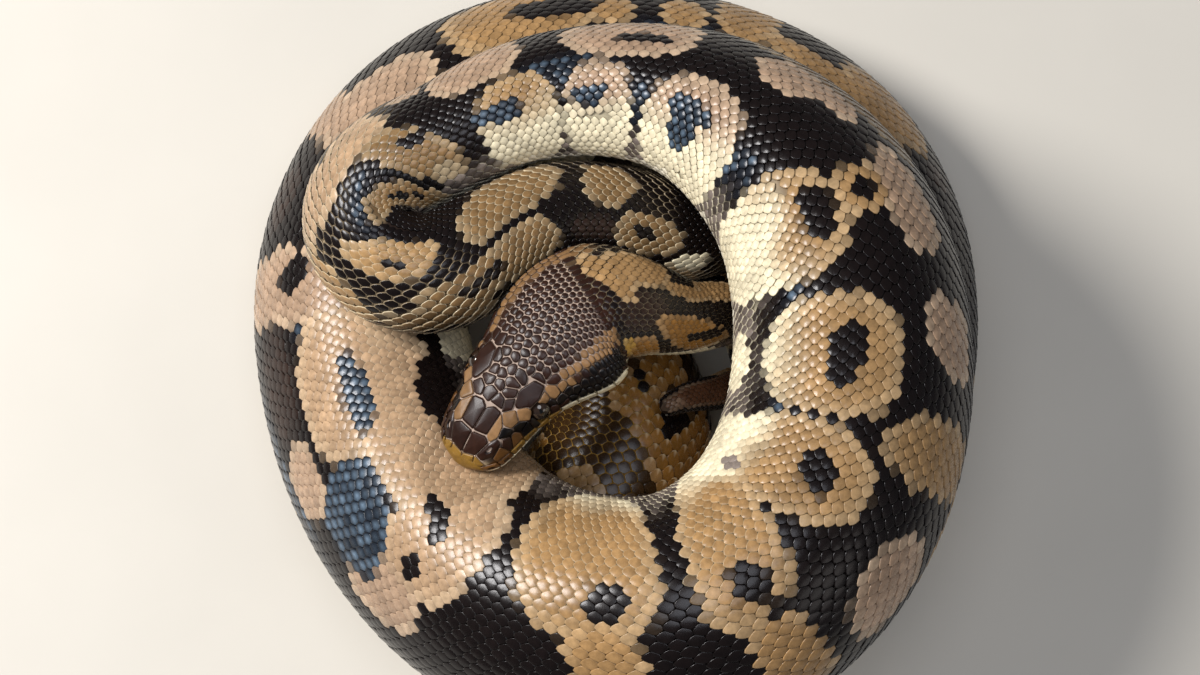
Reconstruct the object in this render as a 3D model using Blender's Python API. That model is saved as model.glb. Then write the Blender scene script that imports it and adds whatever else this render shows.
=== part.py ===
"""A ball python, coiled at rest: a still, life-size solid in named lengths, from head to tail.

One tapering body is swept along one smooth centreline. Where two turns of the coil press on each
other, or on the floor, the soft flesh flattens, so the lengths meet face to face and never cross.
Lengths below are in millimetres; the meshes are built in metres, +Z up, on the floor at z = 0.
"""

import math

import bmesh
import bpy
import numpy as np
from mathutils import Matrix, Vector

MM = 0.001

# ---------------------------------------------------------------- the lie of the body
# From the tip of the snout to the nape and the back of the neck: x, y, height.
HEAD_LINE = [
    (-30.9, -29.5, 65.2), (-26.0, -22.1, 66.2), (-20.6, -14.3, 67.2), (-14.4, -6.9, 68.2),
    (-7.7, 0.4, 69.2), (-1.2, 5.1, 69.2), (7.0, 6.2, 66.6), (13.6, 6.1, 61.6), (20.7, 6.2, 54.8),
    (28.0, 8.6, 47.2),
]

# From the neck on, stations of the centreline round the middle of the pile:
# bearing in degrees clockwise from +Y, distance from the middle, height above the floor.
NECK = [
    (73, 35.4, 41.0), (71, 42.8, 36.9), (65, 49.2, 35.2), (57, 52.0, 36.0), (49.5, 49.6, 38.2),
    (44.5, 44.0, 40.8),
]
LOOP = [
    (40, 38.4, 43.2), (32, 33.6, 46.4), (21, 31.5, 50.2), (0, 30.3, 54.5), (336, 31.0, 58.5),
    (310, 33.2, 62.0), (290.5, 40.6, 64.0), (289, 50.0, 64.0), (293, 57.3, 64.0), (299, 61.0, 64.2),
    (306, 61.4, 64.4), (313, 59.6, 64.3),
]
UPPER_LAP = [
    (320, 57.4, 64.0), (335, 56.8, 63.5), (349, 57.1, 63.0), (5, 57.2, 63.5), (23, 57.2, 65.3),
    (44, 56.2, 68.3), (67, 55.7, 70.5), (93, 56.0, 71.0), (118, 59.5, 70.5), (143, 64.5, 69.5),
    (164, 66.0, 66.5), (182, 63.3, 60.0), (203, 59.0, 50.5), (225, 55.0, 40.5), (248, 53.8, 32.0),
    (271, 56.4, 26.5),
]
LOWER_LAP = [
    (290, 61.8, 23.5), (308, 67.0, 22.8), (330, 71.5, 22.5), (355, 72.5, 22.3), (20, 74.0, 22.0),
    (45, 76.0, 21.6), (66, 73.0, 21.2), (90, 67.5, 20.6), (111, 66.0, 20.0), (131, 66.5, 19.4),
    (148, 65.2, 18.8),
]
# Where it turns in to the middle of the pile, on the floor, and winds up: x, y, height.
INNER_TURN = [
    (19.5, -60.6, 18.4), (5.0, -58.4, 18.0), (-3.2, -47.0, 17.7), (0.2, -32.0, 17.5),
    (6.2, -18.0, 17.2), (6.2, -5.0, 16.8), (0.0, 7.0, 16.2), (-4.8, 18.5, 15.2), (1.6, 28.6, 13.8),
    (14.0, 31.6, 12.2), (26.2, 28.0, 10.8), (34.8, 18.4, 9.8), (38.2, 7.4, 10.6), (37.6, -1.0, 16.0),
]
TAIL = [(32.0, -4.8, 25.0), (26.4, -7.8, 33.5), (20.0, -10.0, 38.8), (13.4, -13.6, 41.0)]

# ---------------------------------------------------------------- the girth of the body
# Distance behind the tip of the snout, half the width there.
HALF_WIDTH_FRONT = [
    (0, 0), (0.5, 3.9), (1.5, 6.0), (3, 7.6), (6, 9.0), (10, 9.8), (16, 10.7), (22, 11.8),
    (28, 13.6), (34, 15.3), (40, 16.3), (46, 15.5), (52, 13.3), (58, 11.6), (66, 10.2), (75, 8.6),
    (84, 7.8), (96, 8.0), (110, 8.7), (130, 10.4), (155, 12.3), (190, 13.5), (232, 14.4),
    (262, 14.8), (290, 15.8), (308, 17.2), (328, 20.0), (350, 23.3), (372, 25.8), (400, 27.0),
    (440, 27.3), (520, 26.9), (600, 26.3), (680, 25.5), (760, 24.4),
]
# Distance in front of the tip of the tail, half the width there.
HALF_WIDTH_REAR = [
    (280, 23.4), (240, 22.7), (205, 22.4), (180, 22.2), (162, 21.7), (145, 20.1), (125, 16.9),
    (105, 13.6), (85, 10.6), (65, 8.1), (45, 6.2), (25, 4.8), (12, 3.9), (4, 3.0), (1, 1.8), (0, 0),
]
# Head: height of the crown above, and depth of the chin below, the centreline.
CROWN = [
    (0, 0), (0.5, 2.0), (1.5, 3.4), (3, 4.6), (6, 5.9), (10, 6.9), (16, 7.9), (22, 8.8),
    (30, 9.6), (38, 9.8), (46, 9.3), (54, 8.6), (64, 7.9), (76, 7.4), (90, 7.4),
]
CHIN = [
    (0, 0), (0.5, 1.9), (1.5, 3.0), (3, 3.9), (6, 4.8), (10, 5.4), (22, 6.6), (34, 7.8),
    (44, 8.2), (54, 8.0), (64, 7.6), (76, 7.2), (90, 7.2),
]
TRUNK_RISE = 0.93  # height of the back above the centreline, per half width
TRUNK_DROP = 0.84  # depth of the belly below it
# How far the spine leans out of the coil: distance behind the snout, degrees.
LEAN = [
    (0, 9), (50, 9), (75, 26), (110, 20), (150, 4), (185, 6), (215, 30), (250, 50), (300, 50),
    (345, 43), (400, 40), (470, 40), (540, 44), (600, 46), (700, 44), (800, 36), (880, 16),
    (940, 8), (1000, 20), (1040, 12), (1080, 8),
]
TOP_SQUARENESS, BELLY_SQUARENESS = 2.15, 2.5  # exponents of the section's upper and lower halves

FLESH_GAP = 0.7  # between two turns that press on each other
NEIGHBOUR = 1.35  # turns nearer along the body than this many widths never press on each other
FOLD = 0.86  # the inside of a bend reaches this far towards its centre

SIDES = 22
CUT_GAP = 0.5  # the thin cut between two lengths
MOUTH_GAP = 0.3
MOUTH_HEIGHT, MOUTH_SLOPE = -1.6, 0.045  # mouth line below the centreline, and how fast it drops
EYE_BACK, EYE_RADIUS, EYE_SET = 20.3, 2.75, 0.9  # behind the snout; how far its middle is sunk
EYE_UP = 2.9
SOCKET_GAP = 0.3

# ---------------------------------------------------------------- named lengths, back from the snout
HEAD_END = 50.0
CUTS = [
    ("neck", 100.0), ("throat_bend", 146.0), ("forebody_1", 205.0), ("forebody_2", 262.0),
    ("trunk_1", 335.0), ("trunk_2", 405.0), ("trunk_3", 475.0), ("trunk_4", 550.0),
    ("trunk_5", 625.0), ("trunk_6", 705.0), ("trunk_7", 785.0), ("trunk_8", 872.0),
    ("trunk_9", 938.0), ("vent_turn", 1012.0), ("tail", None),
]


def station(bearing, distance, height):
    angle = math.radians(bearing)
    return (distance * math.sin(angle), distance * math.cos(angle), height)


def natural_spline(knots, values, at):
    """The natural cubic spline through the rows of values, one at each knot."""
    count = len(knots)
    step = np.diff(knots)
    matrix = np.eye(count)
    right = np.zeros_like(values)
    for i in range(1, count - 1):
        matrix[i, i - 1 : i + 2] = step[i - 1], 2 * (step[i - 1] + step[i]), step[i]
        slopes = np.diff(values[i - 1 : i + 2], axis=0) / step[i - 1 : i + 1, None]
        right[i] = 6 * (slopes[1] - slopes[0])
    bend = np.linalg.solve(matrix, right)
    i = np.clip(np.searchsorted(knots, at) - 1, 0, count - 2)
    h = step[i][:, None]
    t = (at - knots[i])[:, None]
    rise = (values[i + 1] - values[i]) / h - h * (2 * bend[i] + bend[i + 1]) / 6
    return values[i] + rise * t + bend[i] / 2 * t**2 + (bend[i + 1] - bend[i]) / (6 * h) * t**3


def through(pairs, at):
    """A smooth curve through (x, y) pairs that never overshoots them."""
    x, y = np.array(sorted(pairs), float).T
    step = np.diff(x)
    slope = np.diff(y) / step
    tilt = np.zeros(len(x))
    tilt[0], tilt[-1] = slope[0], slope[-1]
    for i in range(1, len(x) - 1):
        if slope[i - 1] * slope[i] > 0:
            before, after = 2 * step[i] + step[i - 1], step[i] + 2 * step[i - 1]
            tilt[i] = (before + after) / (before / slope[i - 1] + after / slope[i])
    at = np.clip(at, x[0], x[-1])
    i = np.clip(np.searchsorted(x, at) - 1, 0, len(x) - 2)
    t = (at - x[i]) / step[i]
    start = (1 + 2 * t) * (1 - t) ** 2 * y[i] + t * (1 - t) ** 2 * step[i] * tilt[i]
    return start + t**2 * (3 - 2 * t) * y[i + 1] + t**2 * (t - 1) * step[i] * tilt[i + 1]


def lay_centreline():
    laps = [station(*s) for s in NECK + LOOP + UPPER_LAP + LOWER_LAP]
    points = np.array(HEAD_LINE + laps + INNER_TURN + TAIL)
    chord = np.concatenate([[0], np.cumsum(np.linalg.norm(np.diff(points, axis=0), axis=1))])
    line = natural_spline(chord, points, np.linspace(0, chord[-1], 6001))
    along = np.concatenate([[0], np.cumsum(np.linalg.norm(np.diff(line, axis=0), axis=1))])
    return line, along


LINE, ALONG = lay_centreline()
LENGTH = ALONG[-1]


def centre(s):
    return np.stack([np.interp(s, ALONG, LINE[:, k]) for k in range(3)], -1)


def unit(v):
    return v / np.linalg.norm(v, axis=-1, keepdims=True)


def heading(s, reach=1.5):
    s = np.clip(s, 0, LENGTH)
    return unit(centre(np.minimum(s + reach, LENGTH)) - centre(np.maximum(s - reach, 0)))


def axes(s):
    """Heading, right and spine directions: right is the inside of the clockwise coil."""
    ahead = heading(s)
    right = unit(np.cross(ahead, [0.0, 0.0, 1.0]))
    up = np.cross(right, ahead)
    lean = np.radians(through(LEAN, s))[..., None]
    spine = np.cos(lean) * up - np.sin(lean) * right
    return ahead, np.cross(ahead, spine), spine


def girth(s):
    """Half width, rise of the back and drop of the belly."""
    front = through(HALF_WIDTH_FRONT, s)
    rear = through(HALF_WIDTH_REAR, LENGTH - s)
    blend = np.clip((s - 760) / (LENGTH - 280 - 760), 0, 1)
    half = front * (1 - blend) + rear * blend
    trunk = np.clip((s - 76) / 40, 0, 1)
    rise = through(CROWN, s) * (1 - trunk) + half * TRUNK_RISE * trunk
    drop = through(CHIN, s) * (1 - trunk) + half * TRUNK_DROP * trunk
    return half, rise, drop


SAMPLES = np.arange(0, LENGTH, 3.0)
SAMPLE_CENTRE = centre(SAMPLES)
SAMPLE_SIZE = np.mean(girth(SAMPLES), axis=0)


def ring(s, sides=SIDES):
    """The skin's section at s, in order round the body from the spine, pressed where it touches."""
    turn = np.linspace(0, 2 * math.pi, sides, endpoint=False)
    middle = centre(s)
    ahead, right, spine = axes(s)
    half, rise, drop = girth(s)
    power = np.where(np.cos(turn) > 0, 2 / TOP_SQUARENESS, 2 / BELLY_SQUARENESS)
    across = half * np.sign(np.sin(turn)) * np.abs(np.sin(turn)) ** power
    upward = np.where(np.cos(turn) > 0, rise, drop)
    upward = upward * np.sign(np.cos(turn)) * np.abs(np.cos(turn)) ** power
    arm = across[:, None] * right + upward[:, None] * spine
    share = np.ones(sides)
    # Inside a bend the flesh folds short of the centre of the bend.
    bend = (heading(s + 2) - heading(s - 2)) / 4
    towards = arm @ bend
    share = np.where(towards > FOLD, FOLD / np.maximum(towards, 1e-9), share)
    # Another turn shares the room: each keeps to its own side of the plane between them.
    size = (half + rise + drop) / 3
    others = np.abs(SAMPLES - s) > NEIGHBOUR * (size + SAMPLE_SIZE)
    offset = SAMPLE_CENTRE[others] - middle
    distance = np.linalg.norm(offset, axis=1)
    room = (distance**2 - SAMPLE_SIZE[others] ** 2 + size**2 - FLESH_GAP * distance) / 2
    reach = arm @ offset.T
    limit = np.where(reach > 1e-6, room / np.maximum(reach, 1e-6), 9.0).min(axis=1)
    share = np.minimum(share, np.maximum(limit, 0.05))
    points = middle + arm * share[:, None]
    points[:, 2] = np.maximum(points[:, 2], 0.0)
    return points


def ring_places(start, end):
    """Where the rings of one length stand: closer together on the head and in tight bends."""
    places = [start]
    while places[-1] < end:
        s = places[-1]
        half = float(girth(np.array(s))[0])
        bend = np.linalg.norm(heading(s + 3) - heading(s - 3)) / 6
        step = min(7.8, max(0.58 * half, 1.7), math.sqrt(8 * 0.19 / max(bend, 1e-4)))
        if s < 12:
            step = 0.7 + 0.22 * s
        places.append(s + step)
    count = len(places) - 1
    places = np.array(places)
    return start + (places - start) * (end - start) / (places[count] - start)


def loft(name, rings):
    """One closed body through rings of points, with a flat cap at each end."""
    mesh = bmesh.new()
    rows = [[mesh.verts.new(Vector(p) * MM) for p in points] for points in rings]
    sides = len(rows[0])
    for near, far in zip(rows, rows[1:]):
        for i in range(sides):
            j = (i + 1) % sides
            mesh.faces.new((near[i], near[j], far[j], far[i]))
    for row, flip in ((rows[0], True), (rows[-1], False)):
        middle = mesh.verts.new(sum((v.co for v in row), Vector()) / sides)
        for i in range(sides):
            j = (i + 1) % sides
            mesh.faces.new((row[j], row[i], middle) if flip else (row[i], row[j], middle))
    bmesh.ops.recalc_face_normals(mesh, faces=mesh.faces)
    data = bpy.data.meshes.new(name)
    mesh.to_mesh(data)
    mesh.free()
    thing = bpy.data.objects.new(name, data)
    bpy.context.collection.objects.link(thing)
    return thing


def length_of_body(name, start, end):
    return loft(name, [ring(s) for s in ring_places(start, end)])


def part_at_mouth(head):
    """Cuts the head along the closed mouth into the skull's half and the lower jaw."""
    ahead, right, spine = axes(np.array(20.0))
    normal = unit(spine + MOUTH_SLOPE * ahead)
    on_plane = centre(0.0) + MOUTH_HEIGHT * spine
    jaw = head.copy()
    jaw.data = head.data.copy()
    jaw.name = "lower_jaw"
    bpy.context.collection.objects.link(jaw)
    for thing, side in ((head, 1), (jaw, -1)):
        mesh = bmesh.new()
        mesh.from_mesh(thing.data)
        everything = mesh.verts[:] + mesh.edges[:] + mesh.faces[:]
        cut = bmesh.ops.bisect_plane(
            mesh,
            geom=everything,
            plane_co=Vector(on_plane + side * MOUTH_GAP / 2 * normal) * MM,
            plane_no=Vector(normal) * side,
            clear_inner=True,
        )
        edges = [e for e in cut["geom_cut"] if isinstance(e, bmesh.types.BMEdge)]
        bmesh.ops.holes_fill(mesh, edges=edges, sides=0)
        bmesh.ops.recalc_face_normals(mesh, faces=mesh.faces)
        mesh.to_mesh(thing.data)
        mesh.free()
    return jaw


def ball(name, middle, radius):
    mesh = bmesh.new()
    bmesh.ops.create_uvsphere(mesh, u_segments=14, v_segments=9, radius=radius * MM)
    data = bpy.data.meshes.new(name)
    mesh.to_mesh(data)
    mesh.free()
    thing = bpy.data.objects.new(name, data)
    thing.location = Vector(middle) * MM
    bpy.context.collection.objects.link(thing)
    return thing


def set_eye(name, head, side):
    """An eyeball in its socket: side is 1 on the right of the heading, -1 on the left."""
    s = np.array(EYE_BACK)
    ahead, right, spine = axes(s)
    half = float(girth(s)[0])
    middle = centre(s) + side * (half - EYE_RADIUS * EYE_SET) * right + EYE_UP * spine
    eye = ball(name, middle, EYE_RADIUS)
    socket = ball(name + "_socket", middle, EYE_RADIUS + SOCKET_GAP)
    socket.hide_render = True
    socket.display_type = "WIRE"
    cut = head.modifiers.new(name + "_socket", "BOOLEAN")
    cut.operation = "DIFFERENCE"
    cut.solver = "EXACT"
    cut.object = socket
    return eye


def colour(thing, rgb, roughness):
    material = bpy.data.materials.new(thing.name + "_colour")
    material.use_nodes = True
    shader = material.node_tree.nodes["Principled BSDF"]
    shader.inputs["Base Color"].default_value = (*rgb, 1)
    shader.inputs["Roughness"].default_value = roughness
    shader.inputs["Metallic"].default_value = 0.0
    thing.data.materials.clear()
    thing.data.materials.append(material)


def shade(thing):
    thing.data.shade_smooth()
    thing.data.set_sharp_from_angle(angle=math.radians(40))


def stand_on_middle(things):
    """Moves the pile so that the middle of its outline stands over the origin."""
    corners = np.array([thing.matrix_world @ v.co for thing in things for v in thing.data.vertices])
    low, high = corners.min(axis=0), corners.max(axis=0)
    shift = -(low + high) / 2
    shift[2] = 0.0
    return shift


def build():
    for thing in list(bpy.data.objects):
        bpy.data.objects.remove(thing, do_unlink=True)
    dark, tan, brown, eye_black = (0.05, 0.03, 0.03), (0.45, 0.30, 0.16), (0.09, 0.05, 0.04), (0.01,) * 3
    head = length_of_body("head", 0.35, HEAD_END - CUT_GAP / 2)
    jaw = part_at_mouth(head)
    eyes = [set_eye("eye_left", head, 1), set_eye("eye_right", head, -1)]
    things = [head, jaw, *eyes]
    colour(head, brown, 0.4)
    colour(jaw, tan, 0.45)
    for eye in eyes:
        colour(eye, eye_black, 0.1)
    start = HEAD_END
    for number, (name, end) in enumerate(CUTS):
        stop = LENGTH - 0.4 if end is None else end - CUT_GAP / 2
        thing = length_of_body(name, start + CUT_GAP / 2, stop)
        colour(thing, tan if number % 2 else dark, 0.35)
        things.append(thing)
        start = end
    for thing in things:
        shade(thing)
    bpy.context.view_layer.update()
    shift = stand_on_middle(things)
    print("length", round(LENGTH, 1), "shift mm", np.round(shift / MM, 3))
    for thing in bpy.data.objects:
        thing.location += Vector(shift)


build()
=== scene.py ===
import math

import bmesh
import bpy
import numpy as np
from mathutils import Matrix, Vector


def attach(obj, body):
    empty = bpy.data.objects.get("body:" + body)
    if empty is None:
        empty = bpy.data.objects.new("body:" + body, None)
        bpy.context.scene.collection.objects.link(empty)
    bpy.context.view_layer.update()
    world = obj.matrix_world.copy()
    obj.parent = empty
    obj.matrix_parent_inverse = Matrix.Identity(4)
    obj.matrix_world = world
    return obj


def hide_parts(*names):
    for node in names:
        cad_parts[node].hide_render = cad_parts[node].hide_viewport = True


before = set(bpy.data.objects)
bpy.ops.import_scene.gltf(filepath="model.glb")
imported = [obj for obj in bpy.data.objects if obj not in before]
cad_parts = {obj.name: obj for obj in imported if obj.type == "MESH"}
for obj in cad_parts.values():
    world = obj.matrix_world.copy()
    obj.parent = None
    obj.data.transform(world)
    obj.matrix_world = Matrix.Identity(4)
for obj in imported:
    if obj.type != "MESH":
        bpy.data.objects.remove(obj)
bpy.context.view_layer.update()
MM = 0.001

# %% [markdown]
# ## Where the body lies
# A snake is one tube, so its pose is one line through space. The line is given by stations, as
# a maker would bend a wire: the head by x, y and height, the coils by bearing, distance and
# height. A natural spline joins them, which bends as evenly as a wire does.
# %% The stations
SHIFT = np.array([-4.0548, -3.1409, 0.0])  # sets the middle of the pile over the origin
HEAD_LINE = [
    (-30.9, -29.5, 65.2), (-26.0, -22.1, 66.2), (-20.6, -14.3, 67.2), (-14.4, -6.9, 68.2),
    (-7.7, 0.4, 69.2), (-1.2, 5.1, 69.2), (7.0, 6.2, 66.6), (13.6, 6.1, 61.6), (20.7, 6.2, 54.8),
    (28.0, 8.6, 47.2),
]
COILS = [
    (73, 35.4, 41.0), (71, 42.8, 36.9), (65, 49.2, 35.2), (57, 52.0, 36.0), (49.5, 49.6, 38.2),
    (44.5, 44.0, 40.8), (40, 38.4, 43.2), (32, 33.6, 46.4), (21, 31.5, 50.2), (0, 30.3, 54.5),
    (336, 31.0, 58.5), (310, 33.2, 62.0), (290.5, 40.6, 64.0), (289, 50.0, 64.0),
    (293, 57.3, 64.0), (299, 61.0, 64.2), (306, 61.4, 64.4), (313, 59.6, 64.3), (320, 57.4, 64.0),
    (335, 56.8, 63.5), (349, 57.1, 63.0), (5, 57.2, 63.5), (23, 57.2, 65.3), (44, 56.2, 68.3),
    (67, 55.7, 70.5), (93, 56.0, 71.0), (118, 59.5, 70.5), (143, 64.5, 69.5), (164, 66.0, 66.5),
    (182, 63.3, 60.0), (203, 59.0, 50.5), (225, 55.0, 40.5), (248, 53.8, 32.0), (271, 56.4, 26.5),
    (290, 61.8, 23.5), (308, 67.0, 22.8), (330, 71.5, 22.5), (355, 72.5, 22.3), (20, 74.0, 22.0),
    (45, 76.0, 21.6), (66, 73.0, 21.2), (90, 67.5, 20.6), (111, 66.0, 20.0), (131, 66.5, 19.4),
    (148, 65.2, 18.8),
]
INNER_TURN = [
    (19.5, -60.6, 18.4), (5.0, -58.4, 18.0), (-3.2, -47.0, 17.7), (0.2, -32.0, 17.5),
    (6.2, -18.0, 17.2), (6.2, -5.0, 16.8), (0.0, 7.0, 16.2), (-4.8, 18.5, 15.2), (1.6, 28.6, 13.8),
    (14.0, 31.6, 12.2), (26.2, 28.0, 10.8), (34.8, 18.4, 9.8), (38.2, 7.4, 10.6), (37.6, -1.0, 16.0),
    (32.0, -4.8, 25.0), (26.4, -7.8, 33.5), (20.0, -10.0, 38.8), (13.4, -13.6, 41.0),
]


def station(bearing, distance, height):
    angle = math.radians(bearing)
    return (distance * math.sin(angle), distance * math.cos(angle), height)


def natural_spline(knots, values, at):
    """The natural cubic spline through the rows of values, one at each knot."""
    count = len(knots)
    step = np.diff(knots)
    matrix = np.eye(count)
    right = np.zeros_like(values)
    for i in range(1, count - 1):
        matrix[i, i - 1 : i + 2] = step[i - 1], 2 * (step[i - 1] + step[i]), step[i]
        slopes = np.diff(values[i - 1 : i + 2], axis=0) / step[i - 1 : i + 1, None]
        right[i] = 6 * (slopes[1] - slopes[0])
    bend = np.linalg.solve(matrix, right)
    i = np.clip(np.searchsorted(knots, at) - 1, 0, count - 2)
    h = step[i][:, None]
    t = (at - knots[i])[:, None]
    rise = (values[i + 1] - values[i]) / h - h * (2 * bend[i] + bend[i + 1]) / 6
    return values[i] + rise * t + bend[i] / 2 * t**2 + (bend[i + 1] - bend[i]) / (6 * h) * t**3


points = np.array(HEAD_LINE + [station(*s) for s in COILS] + INNER_TURN)
chord = np.concatenate([[0], np.cumsum(np.linalg.norm(np.diff(points, axis=0), axis=1))])
LINE = natural_spline(chord, points, np.linspace(0, chord[-1], 6001))
ALONG = np.concatenate([[0], np.cumsum(np.linalg.norm(np.diff(LINE, axis=0), axis=1))])
LENGTH = ALONG[-1]
print("snout to tail tip:", round(LENGTH), "mm")

# %% [markdown]
# ## How thick it is
# The body swells from a slim neck to a heavy trunk and shrinks again behind the vent. Each girth
# is read from a short list of widths along the body. The curve through them is monotone between
# its points, so that it never swells where no width says so.
# %% The girth
HALF_WIDTH_FRONT = [  # mm from the snout, half width in mm
    (0, 0), (0.5, 3.9), (1.5, 6.0), (3, 7.6), (6, 9.0), (10, 9.8), (16, 10.7), (22, 11.8),
    (28, 13.6), (34, 15.3), (40, 16.3), (46, 15.5), (52, 13.3), (58, 11.6), (66, 10.2), (75, 8.6),
    (84, 7.8), (96, 8.0), (110, 8.7), (130, 10.4), (155, 12.3), (190, 13.5), (232, 14.4),
    (262, 14.8), (290, 15.8), (308, 17.2), (328, 20.0), (350, 23.3), (372, 25.8), (400, 27.0),
    (440, 27.3), (520, 26.9), (600, 26.3), (680, 25.5), (760, 24.4),
]
HALF_WIDTH_REAR = [  # mm from the tail tip, half width in mm
    (280, 23.4), (240, 22.7), (205, 22.4), (180, 22.2), (162, 21.7), (145, 20.1), (125, 16.9),
    (105, 13.6), (85, 10.6), (65, 8.1), (45, 6.2), (25, 4.8), (12, 3.9), (4, 3.0), (1, 1.8), (0, 0),
]
CROWN = [  # mm from the snout, mm from the midline up to the crown
    (0, 0), (0.5, 2.0), (1.5, 3.4), (3, 4.6), (6, 5.9), (10, 6.9), (16, 7.9), (22, 8.8),
    (30, 9.6), (38, 9.8), (46, 9.3), (54, 8.6), (64, 7.9), (76, 7.4), (90, 7.4),
]
CHIN = [  # mm from the snout, mm from the midline down to the chin
    (0, 0), (0.5, 1.9), (1.5, 3.0), (3, 3.9), (6, 4.8), (10, 5.4), (22, 6.6), (34, 7.8),
    (44, 8.2), (54, 8.0), (64, 7.6), (76, 7.2), (90, 7.2),
]
LEAN = [  # mm from the snout, degrees by which the spine is rolled to the animal's right
    (0, 9), (50, 9), (75, 26), (110, 20), (150, 4), (185, 6), (215, 30), (250, 50), (300, 50),
    (345, 43), (400, 40), (470, 40), (540, 44), (600, 46), (700, 44), (800, 36), (880, 16),
    (940, 8), (1000, 20), (1040, 12), (1080, 8),
]
FRONT_TO, REAR_FROM = 760, 280  # the front widths hold to 760 mm, the rear ones for the last 280 mm
HEAD_TO_NECK, NECK_LONG = 76, 40  # mm: where the heights of the head begin to fade out, and over how far
BACK_RISE, BELLY_DROP = 0.93, 0.84  # of the half width, behind the head
print("widths given:", len(HALF_WIDTH_FRONT), "in front and", len(HALF_WIDTH_REAR), "behind")

# %% [markdown]
# Two things are asked of the body everywhere: how thick it is, and which way is towards the tail,
# to the side and out of the spine. These helpers answer both for any distance along it.
# %% Thickness and directions
def through(pairs, at):
    """A smooth curve through (x, y) pairs that never overshoots them."""
    x, y = np.array(sorted(pairs), float).T
    step = np.diff(x)
    slope = np.diff(y) / step
    tilt = np.zeros(len(x))
    tilt[0], tilt[-1] = slope[0], slope[-1]
    for i in range(1, len(x) - 1):
        if slope[i - 1] * slope[i] > 0:
            before, after = 2 * step[i] + step[i - 1], step[i] + 2 * step[i - 1]
            tilt[i] = (before + after) / (before / slope[i - 1] + after / slope[i])
    at = np.clip(at, x[0], x[-1])
    i = np.clip(np.searchsorted(x, at) - 1, 0, len(x) - 2)
    t = (at - x[i]) / step[i]
    start = (1 + 2 * t) * (1 - t) ** 2 * y[i] + t * (1 - t) ** 2 * step[i] * tilt[i]
    return start + t**2 * (3 - 2 * t) * y[i + 1] + t**2 * (t - 1) * step[i] * tilt[i + 1]


def centre(s):
    return np.stack([np.interp(s, ALONG, LINE[:, k]) for k in range(3)], -1)


def unit(v):
    return v / np.maximum(np.linalg.norm(v, axis=-1, keepdims=True), 1e-9)


def heading(s, reach=1.5):
    """The direction of the body at s, towards the tail."""
    s = np.clip(s, 0, LENGTH)
    return unit(centre(np.minimum(s + reach, LENGTH)) - centre(np.maximum(s - reach, 0)))


def axes(s):
    """Tailward, left and spine directions at s: the animal's left is the inside of the big coil."""
    tailward = heading(s)
    left = unit(np.cross(tailward, [0.0, 0.0, 1.0]))
    up = np.cross(left, tailward)
    lean = np.radians(through(LEAN, s))[..., None]
    spine = np.cos(lean) * up - np.sin(lean) * left
    return tailward, np.cross(tailward, spine), spine


def girth(s):
    """Half width, rise of the back and drop of the belly."""
    blend = np.clip((s - FRONT_TO) / (LENGTH - REAR_FROM - FRONT_TO), 0, 1)
    half = through(HALF_WIDTH_FRONT, s) * (1 - blend)
    half = half + through(HALF_WIDTH_REAR, LENGTH - s) * blend
    trunk = np.clip((s - HEAD_TO_NECK) / NECK_LONG, 0, 1)
    rise = through(CROWN, s) * (1 - trunk) + half * BACK_RISE * trunk
    drop = through(CHIN, s) * (1 - trunk) + half * BELLY_DROP * trunk
    return half, rise, drop


print("thickest:", round(2 * float(girth(np.array(440.0))[0])), "mm across")

# %% [markdown]
# ## The outside of the body
# The section is a soft oval, flatter below. Where two turns press on each other, or on the
# floor, soft flesh gives way, so each keeps to its own side of the plane between them, just as
# the solids do. The sections are worked out once, close together, and kept as a table: a place
# on the snake is then two numbers, how far along it is and what share of the way round from
# the spine, and any scale can ask for its place and for the way out of the body there.
# %% Sections
SAMPLES = np.arange(0, LENGTH, 3.0)
SAMPLE_CENTRE = centre(SAMPLES)
SAMPLE_SIZE = np.mean(girth(SAMPLES), axis=0)
ROUND = 160  # places round each section
DRAWN = 121  # places round a section while it is drawn, before they are spaced evenly
TOP_SQUARENESS, BELLY_SQUARENESS = 2.15, 2.5  # 2 gives a plain oval, more gives a squarer one
FLESH_GAP = 0.7  # mm left open between two turns that press on each other
NEIGHBOUR = 1.35  # a length further off along the body than this times both thicknesses is another turn
FOLD = 0.86  # the inside of a bend stops at this share of the bend's radius
LEAST, FREE = 0.05, 9.0  # smallest share of its size that a section is pressed to, and no limit at all


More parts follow.
